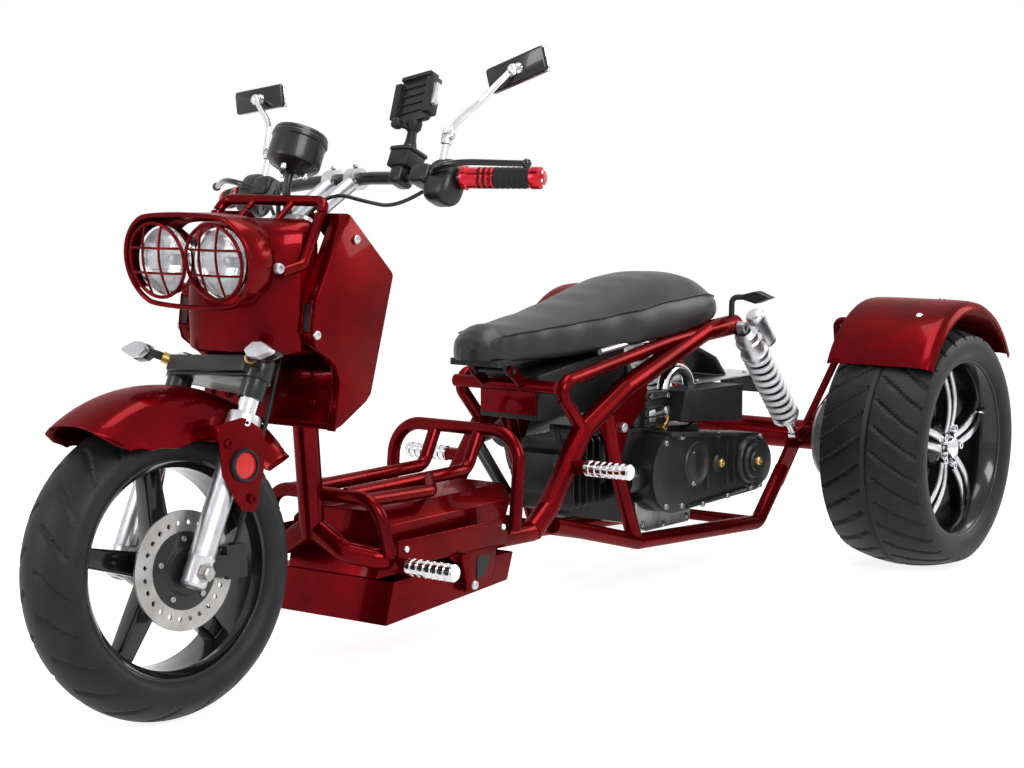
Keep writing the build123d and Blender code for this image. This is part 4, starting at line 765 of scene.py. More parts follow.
def swell(obj, cap, pressure, evening):
    """Lets the cushion swell as cloth under pressure, with its creases evened out; no point moves past cap."""
    start = [v.co.copy() for v in obj.data.vertices]
    cloth = obj.modifiers.new("cloth", "CLOTH")
    cloth.settings.use_pressure = True
    cloth.settings.uniform_pressure_force = pressure
    cloth.settings.effector_weights.gravity = 0
    cloth.point_cache.frame_start = 1
    cloth.point_cache.frame_end = 20
    for step in range(1, 21):
        bpy.context.scene.frame_set(step)
    done = bpy.data.meshes.new_from_object(obj.evaluated_get(bpy.context.evaluated_depsgraph_get()))
    obj.modifiers.clear()
    moves = [vertex.co - before for vertex, before in zip(done.vertices, start)]
    for _ in range(evening):
        sums = [move.copy() for move in moves]
        shares = [1] * len(moves)
        for edge in done.edges:
            a, b = edge.vertices
            sums[a] += moves[b]
            sums[b] += moves[a]
            shares[a] += 1
            shares[b] += 1
        moves = [total / share for total, share in zip(sums, shares)]
    for vertex, before, move in zip(done.vertices, start, moves):
        vertex.co = before + move * min(1, cap / max(move.length, 1e-9))
    obj.data = done
    bpy.context.scene.frame_set(1)


swell(seat, 0.004, 4.0, 60)
seat.data.shade_smooth()
for side, name in ((1, "left"), (-1, "right")):
    seam_points = []
    for i in range(27):
        x = 96 - i * 27.5
        seam_points.append((x, side * table_at(SEAT_HALF, x) * 0.905, table_at(SEAT_SEAM, x) + 0.6))
    tube("seat_piping_" + name, seam_points, 1.6, leather, "seat")

# Headlight: hood, wire grille and two lamps
LAMP_Z, LAMP_Y, HOUSE_R = 724.5, 62.0, 76.0
BACK, FRONT = 800.0, 866.0


def slot_outline(r, half, count, start=0.0, turn=360.0):
    """Points (y, z) round a slot, by angle from its right side over the top."""
    points = []
    for i in range(count + 1):
        a = math.radians(start + turn * i / count)
        c, d = math.cos(a), math.sin(a)
        points.append((half * max(-1, min(1, c * 3)) + r * c, r * d))
    return points


def hood():
    outer = slot_outline(HOUSE_R, LAMP_Y, 60, -38, 256)
    verts = []
    rings = [(BACK - 10, 0.80), (BACK + 6, 0.93), (BACK + 24, 1.0), (FRONT - 4, 1.0), (FRONT + 2, 0.985),
             (FRONT + 2, 0.955), (FRONT - 6, 0.945), (BACK + 20, 0.935), (BACK + 2, 0.86)]
    for x, share in rings:
        for y, z in outer:
            lean = 10.0 * (z / HOUSE_R) if x > BACK + 30 else 0.0
            verts.append((x + lean, y * share, LAMP_Z + z * share))
    n = len(outer)
    faces = grid_faces(len(rings), n, True, False)
    faces += [tuple(k * n for k in range(len(rings))), tuple(k * n + n - 1 for k in range(len(rings)))]
    return solid("headlight_hood", verts, faces, candy, "chassis", replaces=("headlight_housing",), sharp=40)


hood()
grille = []
ring = [(FRONT + 4 + 10.0 * (z / HOUSE_R), y, LAMP_Z + z) for y, z in slot_outline(HOUSE_R - 2, LAMP_Y, 36)[:-1]]
tube("grille_frame", ring, 4.2, candy, "chassis", replaces=("headlight_grille",), closed=True, sides=3)
for side, name in ((1, "left"), (-1, "right")):
    ring = [(FRONT + 8 + 8.0 * math.sin(a), side * LAMP_Y + 60 * math.cos(a), LAMP_Z + 60 * math.sin(a))
            for a in (2 * math.pi * k / 24 for k in range(24))]
    tube("grille_ring_" + name, ring, 3.0, candy, "chassis", closed=True, sides=3)
    for k, shift in enumerate((-20, 20)):
        reach = math.sqrt(60 ** 2 - shift ** 2)
        bow = [(FRONT + 8 + 15 * (1 - t * t) + 8 * t * reach / 60, side * LAMP_Y + shift * 0.9, LAMP_Z + t * reach)
               for t in (-1, -0.6, 0, 0.6, 1)]
        tube("grille_up_%s_%d" % (name, k), bow, 2.1, candy, "chassis", sides=3)
        bow = [(FRONT + 8 + 15 * (1 - t * t) + 8 * shift / 60, side * LAMP_Y + t * reach, LAMP_Z + shift)
               for t in (-1, -0.6, 0, 0.6, 1)]
        tube("grille_over_%s_%d" % (name, k), bow, 2.1, candy, "chassis", sides=3)
    lamp_frame = basis(mm((BACK, side * LAMP_Y, LAMP_Z)), Vector((0, 1, 0)), Vector((1, 0, 0)), Vector((0, 0, -1)))
    bowl = lathe("lamp_bowl_" + name, [(4, 22), (20, 24), (36, 32), (48, 44), (53, 52), (55, 52), (55, 40), (44, 16),
                                       (20, 6), (4, 6)], facets, "chassis", lamp_frame, 48, sharp=20)
    rim = lathe("lamp_rim_" + name, [(52, 50), (57, 50), (58, 56), (55, 60), (52, 58)], chrome, "chassis", lamp_frame, 60)
    glass = lathe("lamp_glass_" + name, [(0.5, 66), (20, 65), (38, 62), (53, 56), (53, 53), (38, 58), (20, 61), (0.5, 62)],
                  clear_lens, "chassis", lamp_frame, 36, replaces=("headlamps",), sharp=8)
    lathe("lamp_bulb_" + name, [(0.5, 46), (7, 44), (10, 38), (10, 24), (0.5, 24)], silver, "chassis", lamp_frame, 24)

# Rear fenders
FENDER_X, FENDER_Z, FENDER_R = REAR_X * 1000 - 18, 336.4, 238.0
for side, name in ((1, "left"), (-1, "right")):
    out = REAR @ Matrix.Translation(mm((-18, 0, 76.0))) @ Matrix.Scale(side, 4, Vector((0, 1, 0)))
    profile = [(FENDER_R - 8, 289), (FENDER_R - 3, 290), (FENDER_R - 1, 300), (FENDER_R, 340), (FENDER_R, 470),
               (FENDER_R - 1, 500), (FENDER_R - 4, 516), (FENDER_R - 11, 525), (FENDER_R - 22, 527),
               (FENDER_R - 22, 524), (FENDER_R - 12, 522), (FENDER_R - 7, 514), (FENDER_R - 4.5, 500),
               (FENDER_R - 3.5, 470), (FENDER_R - 3.5, 300), (FENDER_R - 8, 292)]
    lathe("rear_fender_shell_" + name, profile, candy, "chassis", out, 60, 124.0, 28.0, replaces=("rear_fenders",),
          sharp=50)
    places = []
    for deg in (62, 90, 118):
        a = math.radians(deg)
        places.append(((FENDER_R * math.cos(a), 455, FENDER_R * math.sin(a)), (math.cos(a), 0, math.sin(a))))
    bolts("rear_fender_bolts_" + name, places, 7, chrome, "chassis", out, 4)

# Rear shock absorbers: eyes, rod, sleeve, cans, the gas bottle and the coil spring
SHOCK_LOW = Vector((-850.8, 0, 272.0))
SHOCK_HIGH = Vector((-618.3, 0, 521.6))
LEAN = (SHOCK_HIGH - SHOCK_LOW).normalized()
LONG = (SHOCK_HIGH - SHOCK_LOW).length
SIDEWAYS = LEAN.cross(Vector((0, 1, 0)))
for side, name in ((1, "left"), (-1, "right")):
    shift = Vector((0, side * 150.7, 0))
    coil = []
    turns, steps = 8.6, 10
    for i in range(int(turns * steps) + 1):
        a = 2 * math.pi * i / steps
        at = SHOCK_LOW + LEAN * LONG * (0.212 + 0.535 * i / (turns * steps))
        coil.append(tuple(at + shift + (SIDEWAYS * math.cos(a) + Vector((0, math.sin(a), 0))) * 26.5))
    tube("shock_coil_" + name, coil, 5.6, white_paint, "chassis", replaces=("shock_springs",), sides=4)
    inner = basis(mm(SHOCK_LOW + shift), SIDEWAYS, LEAN, SIDEWAYS.cross(LEAN))
    rod = lathe("rod", [(0.5, 8), (9, 8), (9, 48), (16, 54), (16, 60), (0.5, 60)], chrome, "chassis", inner, 24)
    seat_ring = lathe("ring", [(8, 56), (29, 56), (31, 60), (31, 66), (28, 70), (8, 70)], silver, "chassis", inner, 40)
    sleeve = lathe("sleeve", [(0.5, 64), (20, 64), (20, 262), (0.5, 262)], black_paint, "chassis", inner, 32)
    can = lathe("can", [(14, 256), (29, 256), (31, 260), (31, 268), (28, 271), (26, 276), (26, 296), (29, 299), (29, 304),
                        (25, 308), (25, 322), (16, 330), (14, 330)], silver, "chassis", inner, 40)
    low_eye = lathe("eye", [(7, -9), (13, -9), (13, 9), (7, 9)], chrome, "chassis",
                    basis(mm(SHOCK_LOW + shift), Vector((1, 0, 0)), Vector((0, 1, 0)), Vector((0, 0, 1))), 28)
    high_eye = lathe("eye", [(7, -9), (13, -9), (13, 9), (7, 9)], silver, "chassis",
                     basis(mm(SHOCK_HIGH + shift), Vector((1, 0, 0)), Vector((0, 1, 0)), Vector((0, 0, 1))), 28)
    beside = basis(mm(SHOCK_LOW + shift + SIDEWAYS * 52), SIDEWAYS, LEAN, SIDEWAYS.cross(LEAN))
    bottle = lathe("bottle", [(0.5, 236), (14, 236), (18, 240), (20.5, 243), (20.5, 250), (19.5, 252), (19.5, 312),
                              (20.5, 314), (20.5, 322), (18, 326), (14, 328), (0.5, 328)], silver, "chassis", beside, 36)
    bridge = prism("bridge", [(-60, 288), (-10, 288), (-10, 304), (-60, 304)], -9, 9, silver, "chassis",
                   basis(mm(SHOCK_LOW + shift), -SIDEWAYS, LEAN.cross(SIDEWAYS), LEAN), bevel=3)
    join("shock_body_" + name, [rod, seat_ring, sleeve, can, low_eye, high_eye, bottle, bridge], None, "chassis",
         ("shock_bodies",) if side == 1 else ())

# Fork legs, collars, reflectors and front axle ends
UP_FORK = Matrix.Rotation(math.radians(90), 4, "X")
for side, name in ((1, "left"), (-1, "right")):
    leg = FORK @ Matrix.Translation(mm((50, side * 97, 0))) @ UP_FORK
    lathe("fork_slider_" + name, [(10, -26), (18, -24), (21, -20), (21, 20), (22.5, 24), (21, 28), (21, 196), (24, 204),
                                  (25, 212), (25, 226), (28, 230), (28, 254), (26, 260), (17, 263), (17, 120), (10, 110)],
          silver, "steering", leg, 44, replaces=("fork_sliders",) if side == 1 else (), sharp=30)
    lathe("fork_collar_" + name, [(16.6, 286), (20, 286), (21, 289), (21, 318), (16.6, 318)], black_paint, "steering", leg, 36)
    lathe("fork_cap_" + name, [(0.5, 352), (18, 352), (18, 358), (15, 361), (0.5, 361)], chrome, "steering", leg, 24)
    face = WHEEL @ Matrix.Scale(side, 4, Vector((0, 1, 0)))
    lathe("axle_nut_" + name, [(0.5, 132), (8, 132), (11, 130), (11, 120), (16, 120), (16, 117), (0.5, 117)], steel,
          "steering", face, 6 if side == 1 else 24)
    spot_at = WHEEL @ Matrix.Translation(mm((-81.5, 0, 158.2))) @ Matrix.Scale(side, 4, Vector((0, 1, 0)))
    lathe("reflector_ring_" + name, [(21, 126), (27, 126), (27, 130), (25, 134), (22, 134), (21, 130)], black_plastic,
          "steering", spot_at, 40, replaces=("fork_reflectors",) if side == 1 else ())
    lathe("reflector_lens_" + name, [(0.5, 132.5), (12, 132), (21.5, 130), (21.5, 127), (0.5, 127)], red_lens, "steering",
          spot_at, 12, sharp=5)
bolts("slider_bolts", [((62, side * 121, 242), (0.5, side, 0)) for side in (1, -1)], 6, chrome, "steering", FORK, 7)
bolts("crown_bolts", [((74, side * 84, 335), (1, 0, 0)) for side in (1, -1)], 10, silver, "steering", FORK, 9)
prism("crown_stay", rounded([(56, -106), (84, -100), (84, 100), (56, 106)], 8), 322, 350, black_cast, "steering", FORK, "XY",
      bevel=3)

# Front fender: a domed sheet whose lower edge flares out except between the fork's legs
CUTS = [(57, 269), (59.7, 241), (63.4, 223), (75, 203), (86.8, 194), (100, 204), (114, 215), (126.9, 207), (135, 211),
        (140.2, 215), (145, 270)]


def fender_section(angle, count=15):
    """Half of the sheet's section at an angle over the wheel: (y, radius) from the middle to the lower edge."""
    cut = table_at(CUTS, angle)
    line = []
    for k in range(25):
        a = math.pi / 2 * k / 24
        line.append((76 * math.sin(a) ** 0.8, 236 + 52 * math.cos(a) ** 0.75))
    line.append((76.5, 190))
    spans = [math.dist(p, q) for p, q in zip(line, line[1:])]
    reach = 0
    for (p, q), span in zip(zip(line, line[1:]), spans):
        if q[1] < cut:
            reach += span * (p[1] - cut) / (p[1] - q[1])
            break
        reach += span
    points = []
    for k in range(count):
        left = reach * k / (count - 1)
        for (p, q), span in zip(zip(line, line[1:]), spans):
            if left <= span:
                break
            left -= span
        t = left / span
        points.append([p[0] + (q[0] - p[0]) * t, p[1] + (q[1] - p[1]) * t])
    flare = 7.0 * min(1, max(0, (abs(angle - 117) - 12) / 8))
    for k, share in ((count - 1, 1.0), (count - 2, 0.35), (count - 3, 0.08)):
        points[k][0] += flare * share
    return points


verts = []
steps = 44
for i in range(steps + 1):
    angle = 57 + 88 * i / steps
    half = fender_section(angle)
    a = math.radians(angle)
    row = [(y, r) for y, r in reversed(half)] + [(-y, r) for y, r in half[1:]]
    verts += [(r * math.cos(a), y, r * math.sin(a)) for y, r in row]
shell = solid("front_fender_sheet", verts, grid_faces(steps + 1, 29), candy, "steering", WHEEL, thick=3, sharp=40)
CHEEK = [(x * 243.4, z * 243.4) for x, z in ((-0.36, 0.96), (-0.14, 0.93), (-0.16, 0.60), (-0.30, 0.36), (-0.42, 0.33),
                                            (-0.50, 0.60), (-0.52, 0.86))]
parts = [shell]
for side in (1, -1):
    low, high = sorted((side * 122.5, side * 126))
    parts.append(prism("cheek", rounded(CHEEK, 16), low, high, candy, "steering", WHEEL, bevel=1.2))
    low, high = sorted((side * 74, side * 124))
    parts.append(prism("web", [(-48, 224), (-34, 226), (-34, 200), (-48, 198)], low, high, candy, "steering", WHEEL, bevel=2))
join("front_fender_shell", parts, candy, "steering", ("front_fender",), 40)
bolts("fender_bolts", [((x, side * 126, z), (0, side, 0)) for side in (1, -1) for x, z in ((-52, 196), (-92, 104))], 7.5,
      candy, "steering", WHEEL, 6)

# Front signals: leaf-shaped lenses on black stalks
LEAF = [(-26, 0), (-10, 13), (10, 14), (44, 0), (10, -13), (-12, -11)]
for side, name in ((1, "left"), (-1, "right")):
    out = FORK @ Matrix.Translation(mm((100, side * 152, 346))) @ Matrix.Scale(side, 4, Vector((0, 1, 0)))
    back = prism("signal_back", rounded([(y * 1.04, z * 1.08) for y, z in LEAF], 4), -12, 4, black_gloss, "steering", out, "YZ",
                 bevel=2)
    front = prism("signal_front", rounded(LEAF, 4), 3, 15, signal_lens, "steering", out, "YZ", bevel=4, segments=3)
    join("front_signal_" + name, [back, front], None, "steering", ("front_signals",) if side == 1 else ())
    tube("front_stalk_" + name, [(60, side * 96, 340), (78, side * 106, 342), (94, side * 120, 345), (97, side * 134, 346)], 7,
         black_plastic, "steering", FORK)
    frame_of, long = turned((76, side * 104, 342), (86, side * 112, 343), FORK)
    lathe("front_stalk_nut_" + name, [(0.5, 0), (9.5, 0), (9.5, long), (0.5, long)], brass, "steering", frame_of, 12)

# Handlebar fittings: housings, levers, grips, the fluid box
for side, name in ((1, "left"), (-1, "right")):
    blob("switch_housing_" + name, (-91, side * 240, 721), (27, 30, 38), 3.4, black_cast, "steering", FORK,
         replaces=("bar_controls",) if side == 1 else ())
    inner, outer = (-92, side * 270, 729), (-148, side * 395, 748)
    frame_of, long = turned(inner, outer, FORK)
    sleeve = lathe("sleeve", [(11.2, 4), (19, 4), (20, 7), (20, 13), (17.6, 15), (17.6, 60), (11.2, 60)], anodised, "steering",
                   frame_of, 32)
    profile = [(11.2, 30)]
    for k in range(9):
        at = 32 + k * 9.4
        profile += [(16.6, at), (17.6, at + 1.2), (17.6, at + 6.6), (16.6, at + 8)]
    profile += [(16.6, 122), (11.2, 122)]
    rubber = lathe("rubber", profile, grip_rubber, "steering", frame_of, 32)
    cap = lathe("cap", [(0.5, 146), (9, 146), (11, 144), (14, 143), (18, 139), (18.5, 124), (17, 121), (11.2, 121), (11.2, 140),
                        (0.5, 140)], anodised, "steering", frame_of, 32)
    dots = bolts("dots", [((13.5 * math.cos(a), 143, 13.5 * math.sin(a)), (0, 1, 0))
                          for a in (2 * math.pi * k / 6 for k in range(6))], 2.6, chrome, "steering", frame_of, 2)
    join("grip_dressed_" + name, [sleeve, rubber, cap, dots], None, "steering", ("grips",) if side == 1 else ())
    tube("lever_" + name, [(-78, side * 218, 726), (-62, side * 232, 727), (-50, side * 262, 732), (-58, side * 300, 740),
                           (-84, side * 345, 748), (-110, side * 388, 756)], 5.2, black_gloss, "steering", FORK)
    blob("lever_ball_" + name, (-112, side * 392, 757), (8, 8, 8), 2, black_gloss, "steering", FORK)
    blob("lever_perch_" + name, (-80, side * 200, 730), (20, 22, 17), 5, black_cast, "steering", FORK)
blob("bar_clamp_box", (-82, 141, 735), (19, 14, 19), 5, black_cast, "steering", FORK)
prism("fluid_box", rounded([(-105, 118), (-59, 118), (-59, 164), (-105, 164)], 7), 746, 774, black_plastic, "steering", FORK,
      "XY", bevel=2)
prism("fluid_lid", rounded([(-107, 116), (-57, 116), (-57, 166), (-107, 166)], 8), 774, 781, black_cast, "steering", FORK, "XY",
      bevel=2)
bolts("fluid_screws", [((x, y, 780.5), (0, 0, 1)) for x, y in ((-100, 123), (-64, 123), (-100, 159), (-64, 159))], 3, steel,
      "steering", FORK, 2)
bolts("riser_bolts", [((-82 + dx, side * 28, 753), (0, 0, 1)) for side in (1, -1) for dx in (-9, 9)], 4.5, steel, "steering",
      FORK, 5)

# Device holder: a ball stem with a knob, a tray and two side brackets
lathe("holder_stem", [(0.5, 0), (11, 0), (12, 6), (9, 20), (8, 34), (14, 42), (15, 52), (10, 60), (0.5, 62)], black_plastic,
      "steering", turned((-82, 141, 780), (-78, 135, 838), FORK)[0], 28, replaces=("device_holder",))
tube("holder_knob_stem", [(-80, 139, 818), (-56, 128, 818)], 4, black_plastic, "steering", FORK, smooth=False)
blob("holder_knob", (-52, 126, 818), (9, 9, 9), 3, black_plastic, "steering", FORK)
tray = FORK @ Matrix.Translation(mm((-74, 129, 872))) @ Matrix.Rotation(math.radians(8), 4, "X")
holder = [prism("tray", rounded([(-36, -42), (36, -42), (36, 42), (-36, 42)], 6), -8, 4, black_cast, "steering", tray, "YZ",
                bevel=2)]
for y, wide in ((-37, 7), (37, 7)):
    holder.append(prism("wing", [(y - wide, -34), (y + wide, -34), (y + wide, 34), (y - wide, 34)], -12, 12, black_plastic,
                        "steering", tray, "YZ", bevel=2))
for z in (-24, -8, 8, 24):
    holder.append(prism("rib", [(-26, z - 2), (26, z - 2), (26, z + 2), (-26, z + 2)], 3, 7, black_plastic, "steering", tray, "YZ",
                        bevel=1))
holder.append(prism("top", [(-34, 38), (34, 38), (34, 46), (-34, 46)], -12, 10, black_plastic, "steering", tray, "YZ", bevel=2))
holder.append(prism("side_bracket", rounded([(38, -20), (52, -16), (52, 20), (38, 24)], 5), -6, 6, silver, "steering", tray,
                    "YZ", bevel=1.5))
join("holder_tray", holder, None, "steering")

# Mirrors: black backs in bright frames on bent arms
BOX = [(-66, -21), (66, -21), (66, 21), (-66, 21)]
for side, name, roll in ((1, "left", 13.0), (-1, "right", -3.0)):
    out = FORK @ Matrix.Translation(mm((-98, side * 325, 923)))
    out = basis(out.translation, LEVEL, ACROSS, RISE) @ Matrix.Rotation(math.radians(roll * side), 4, "X")
    body = prism("mirror_back", rounded(BOX, 7), -4, 5, black_gloss, "steering", out, "YZ", bevel=2.5)
    glass = prism("mirror_glass", rounded([(y * 0.94, z * 0.88) for y, z in BOX], 6), -6, -4, mirror_glass, "steering", out, "YZ")
    rim_low = rounded(BOX, 7)
    rim = prism("mirror_rim", [(y * 1.02, z * 1.06) for y, z in rim_low], -6.5, -1, chrome, "steering", out, "YZ", bevel=1)
    ball = blob("ball", (10, 0, 0), (10, 10, 10), 2, chrome, "steering", out)
    socket = prism("socket", rounded([(-16, -9), (16, -9), (16, 9), (-16, 9)], 8), 4, 8, chrome, "steering", out, "YZ", bevel=1)
    screws = bolts("mirror_screws", [((8, y, 0), (1, 0, 0)) for y in (-13, 13)], 3.5, steel, "steering", out, 3)
    join("mirror_" + name, [rim, body, glass, ball, socket, screws], None, "steering", ("mirrors",) if side == 1 else ())
    tube("mirror_arm_" + name, [(-80, side * 226, 800), (-76, side * 238, 818), (-84, side * 252, 846), (-92, side * 268, 866),
                                (-88, side * 296, 892), (-88, side * 318, 912), (-88, side * 325, 922)], 5.4, chrome,
         "steering", FORK)
    lathe("mirror_post_" + name, [(0.5, 0), (6, 0), (6, 38), (9, 40), (9, 48), (5, 52), (0.5, 52)], chrome, "steering",
          turned((-86, side * 226, 748), (-80, side * 226, 800), FORK)[0], 20)
    blob("mirror_knuckle_" + name, (-80, side * 228, 804), (7, 13, 11), 3, silver, "steering", FORK)
    bolts("mirror_bolt_" + name, [((-73, side * 228, 806), (1, 0, 0))], 6, chrome, "steering", FORK, 5)

# Gauge
can = basis(FORK @ mm((36, 2, 704)), TURNED, AXIS, TURNED.cross(AXIS))
lathe("gauge_can", [(0.5, -14), (16, -14), (22, -8), (40, 0), (45, 5), (46, 10), (46, 44), (48, 46), (48, 52), (46.5, 54),
                    (46.5, 58), (44, 62), (41, 62), (41, 58), (0.5, 57)], black_paint, "steering", can, 64,
      replaces=("gauge",), sharp=30)
lathe("gauge_glass", [(0.5, 60), (41, 59), (41, 58.3), (0.5, 58.3)], clear_lens, "steering", can, 48)
tube("gauge_stay", [(0, 0, 610), (20, 0, 640), (34, 1, 668), (36, 2, 694)], 7, black_paint, "steering", FORK)
bolts("gauge_bolts", [((36 + 26 * math.cos(a), 2 + 26 * math.sin(a), 698), (0, 0, -1)) for a in (0.4, 2.4, 4.4)], 5, chrome,
      "steering", FORK, 8)

# Engine: steps and bolts on the drive cover, castings, sump, starter, fittings and wires
COVER = basis(Vector((0, 0, 0)), Vector((1, 0, 0)), Vector((0, 1, 0)), Vector((0, 0, 1)))


def on_cover(x, z):
    return COVER @ Matrix.Translation(mm((x, 0, z)))


parts = [
    lathe("bell", [(0.5, 176), (20, 176), (22, 172), (34, 172), (37, 166), (46, 164), (50, 158), (50, 148), (0.5, 148)], black_cast,
          "chassis", on_cover(-645, 238), 48),
    lathe("front_dome", [(0.5, 157), (30, 157), (36, 154), (44, 153), (48, 148), (0.5, 148)], black_cast, "chassis",
          on_cover(-440, 255), 48),
    lathe("middle_dome", [(0.5, 156), (16, 156), (20, 148), (0.5, 148)], black_cast, "chassis", on_cover(-524, 246), 32),
    prism("cover_ridge", rounded([(-598, 302), (-332, 331), (-332, 322), (-598, 293)], 4), 80, 156, black_cast, "chassis",
          bevel=2),
    prism("cover_ridge_low", rounded([(-640, 172), (-400, 166), (-400, 174), (-640, 180)], 3), 92, 154, black_cast, "chassis",
          bevel=2)]
for x in (-590, -562, -482):
    parts.append(prism("cover_rib", [(x, 196), (x + 5, 196), (x + 5, 290), (x, 290)], 146, 153, black_cast, "chassis", bevel=1))
join("drive_cover_shapes", parts, black_cast, "chassis")
around = []
for k in range(6):
    a = math.radians(60 + 48 * k)
    around.append(((-354 + 74 * math.cos(a), 150, 246 + 74 * math.sin(a)), (0, 1, 0)))
for a in (math.radians(d) for d in (110, 250, 290, 340, 30)):
    around.append(((-676 + 56 * math.cos(a), 150, 230 + 56 * math.sin(a)), (0, 1, 0)))
around += [((-520, 150, 306), (0, 1, 0)), ((-460, 150, 168), (0, 1, 0)), ((-560, 150, 172), (0, 1, 0))]
bolts("cover_bolts", around, 6, steel, "chassis", tall=6)
bolts("cover_nut", [((-524, 156, 246), (0, 1, 0)), ((-645, 176, 238), (0, 1, 0))], 9, brass, "chassis", tall=7)
prism("sump_case", rounded([(-296, 200), (-300, 134), (-340, 122), (-505, 120), (-512, 162), (-400, 206)], 10), 66, 94,
      grey_cast, "chassis", bevel=5, segments=3)
bolts("sump_bolts", [((x, 94, z), (0, 1, 0)) for x, z in ((-312, 188), (-320, 140), (-400, 130), (-490, 134), (-400, 192))], 6,
      steel, "chassis", tall=6)
frame_of, long = turned((-336, 116, 242), (-432, 116, 238))
lathe("starter_can", [(0.5, 0), (14, 0), (18, 3), (19, 8), (19, 70), (21, 72), (21, 84), (18, 90), (18, long), (0.5, long)], grey_cast,
      "chassis", frame_of, 32)
bolts("starter_nut", [((-334, 116, 242), (1, 0.4, 0))], 9, brass, "chassis", tall=8)
parts = [blob("valve_cap", (-352, 60, 356), (38, 22, 44), 5, black_cast, "chassis"),
         prism("barrel_side", rounded([(-330, 300), (-420, 300), (-424, 404), (-336, 410)], 10), 60, 92, black_cast, "chassis",
               bevel=4)]
for k in range(5):
    z = 318 + 18 * k
    parts.append(prism("barrel_fin", [(-334, z), (-418, z), (-418, z + 4), (-334, z + 4)], 90, 96, black_cast, "chassis", bevel=1))
join("engine_castings", parts, black_cast, "chassis")
bolts("casting_bolts", [((x, 92, z), (0, 1, 0)) for x, z in ((-344, 312), (-408, 312), (-348, 398), (-410, 394))], 6, steel,
      "chassis", tall=7)
for k, (at, out, r) in enumerate((((-422, 84, 359), (0.2, 1, 0.3), 9), ((-394, 88, 329), (0, 1, 0), 8),
                                  ((-420, 88, 302), (0.4, 1, 0), 9), ((-372, 96, 268), (0, 1, 0), 8))):
    bolts("brass_fitting_%d" % k, [(at, out)], r, brass, "chassis", tall=14)
tube("fuel_pipe", [(-420, 90, 362), (-412, 98, 344), (-396, 94, 332), (-402, 98, 316), (-420, 92, 304)], 3.4, brass, "chassis",
     sides=4)
tube("wire_a", [(-486, 60, 399), (-520, 76, 384), (-566, 84, 352), (-616, 60, 327)], 2.2, steel, "chassis", sides=3)
tube("wire_b", [(-470, 58, 404), (-512, 84, 372), (-556, 88, 338), (-606, 66, 322)], 2.2, steel, "chassis", sides=3)
tube("wire_c", [(-238, 92, 429), (-270, 96, 440), (-300, 90, 436), (-330, 88, 424), (-360, 80, 404)], 3.2, hose_rubber, "chassis",
     sides=4)
tube("wire_d", [(-640, 60, 330), (-600, 80, 342), (-560, 84, 340), (-500, 90, 318), (-440, 92, 314)], 3.0, hose_rubber, "chassis",
     sides=4)
tube("breather_hose", [(-104, 30, 352), (-98, 44, 330), (-100, 50, 300), (-116, 46, 276), (-140, 40, 262)], 8, hose_rubber,
     "chassis", sides=6)
arc = [(-500 + 52 * math.cos(a), 60, 396 + 44 * math.sin(a)) for a in (math.pi * k / 8 for k in range(9))]
tube("intake_pipe", arc, 13, chrome, "chassis", sides=8)
lathe("carburettor_bell", [(0.5, 0), (20, 0), (25, 4), (25, 24), (22, 28), (22, 60), (26, 64), (26, 74), (0.5, 74)], grey_cast,
      "chassis", turned((-346, 70, 356), (-430, 72, 360))[0], 32)
blob("cam_cover", (-250, 0, 276), (30, 64, 50), 6, black_cast, "chassis")

# Sheet in front of the box under the seat, the seat's bright hinge bars and frame bolts
prism("box_front_sheet", rounded([(-66, 394), (66, 394), (66, 464), (-66, 464)], 8), 8, 12, candy, "chassis", plane="YZ", bevel=1.5)
for side, name in ((1, "left"), (-1, "right")):
    frame_of = turned((-149, side * 104, 505), (-307, side * 104, 519))
    lathe("hinge_bar_" + name, [(0.5, 0), (6, 0), (6, frame_of[1]), (0.5, frame_of[1])], silver, "seat", frame_of[0], 16)
bolts("gusset_bolts", [((-201, side * 122.5, 353), (0, side, 0)) for side in (1, -1)], 10, silver, "chassis", tall=8)
bolts("plate_bolts", [((x, side * 143.2, z), (0, side, 0)) for side in (1, -1) for x, z in ((504, 222), (226, 220))], 6, chrome,
      "chassis", tall=5)

# Step brackets: a bent strut and a plate, with a black sheet of painted shade where the plate's cut-out is
for side, name in ((1, "left"), (-1, "right")):
    low, high = sorted((side * 139.4, side * 143.4))
    plate = prism("step_plate", rounded([(390, 189), (241, 189), (250, 150), (262, 134), (284, 120), (322, 112), (330, 128),
                                         (348, 170)], 8), low, high, candy, "chassis", bevel=1.2)
    low, high = sorted((side * 142, side * 156))
    strut = prism("step_strut", rounded([(362, 189), (338, 189), (316, 122), (340, 118)], 6), low, high, candy, "chassis", bevel=2)
    join("step_bracket_" + name, [plate, strut], candy, "chassis", ("step_brackets",) if side == 1 else ())
    # Painted shade: a black sheet on the plate's face stands in for the dark seen through the cut-out
    low, high = sorted((side * 143, side * 144.4))
    prism("step_cutout_shade_" + name, rounded([(300, 178), (262, 176), (276, 142), (304, 136)], 6), low, high, black_plastic, "chassis")
bolts("step_bolts", [((328, side * 156, 132), (0, side, 0)) for side in (1, -1)], 8, silver, "chassis", tall=6)

# Guard plate over the chain with a turned-down black rear
prism("guard_sheet", rounded([(-558, -70), (-842, -70), (-842, 70), (-558, 70)], 10), 400.5, 404, silver, "chassis", plane="XY",
      replaces=("guard_plate",), bevel=0.8)
curl = [(-842, 404), (-870, 401), (-892, 391), (-904, 374), (-908, 350)]
prism("guard_curl", strip(curl, 3), -70, 70, black_paint, "chassis", bevel=0.8, sharp=50)
bolts("guard_bolts", [((x, y, 404), (0, 0, 1)) for x in (-600, -800) for y in (-52, 52)], 5, steel, "chassis", tall=4)

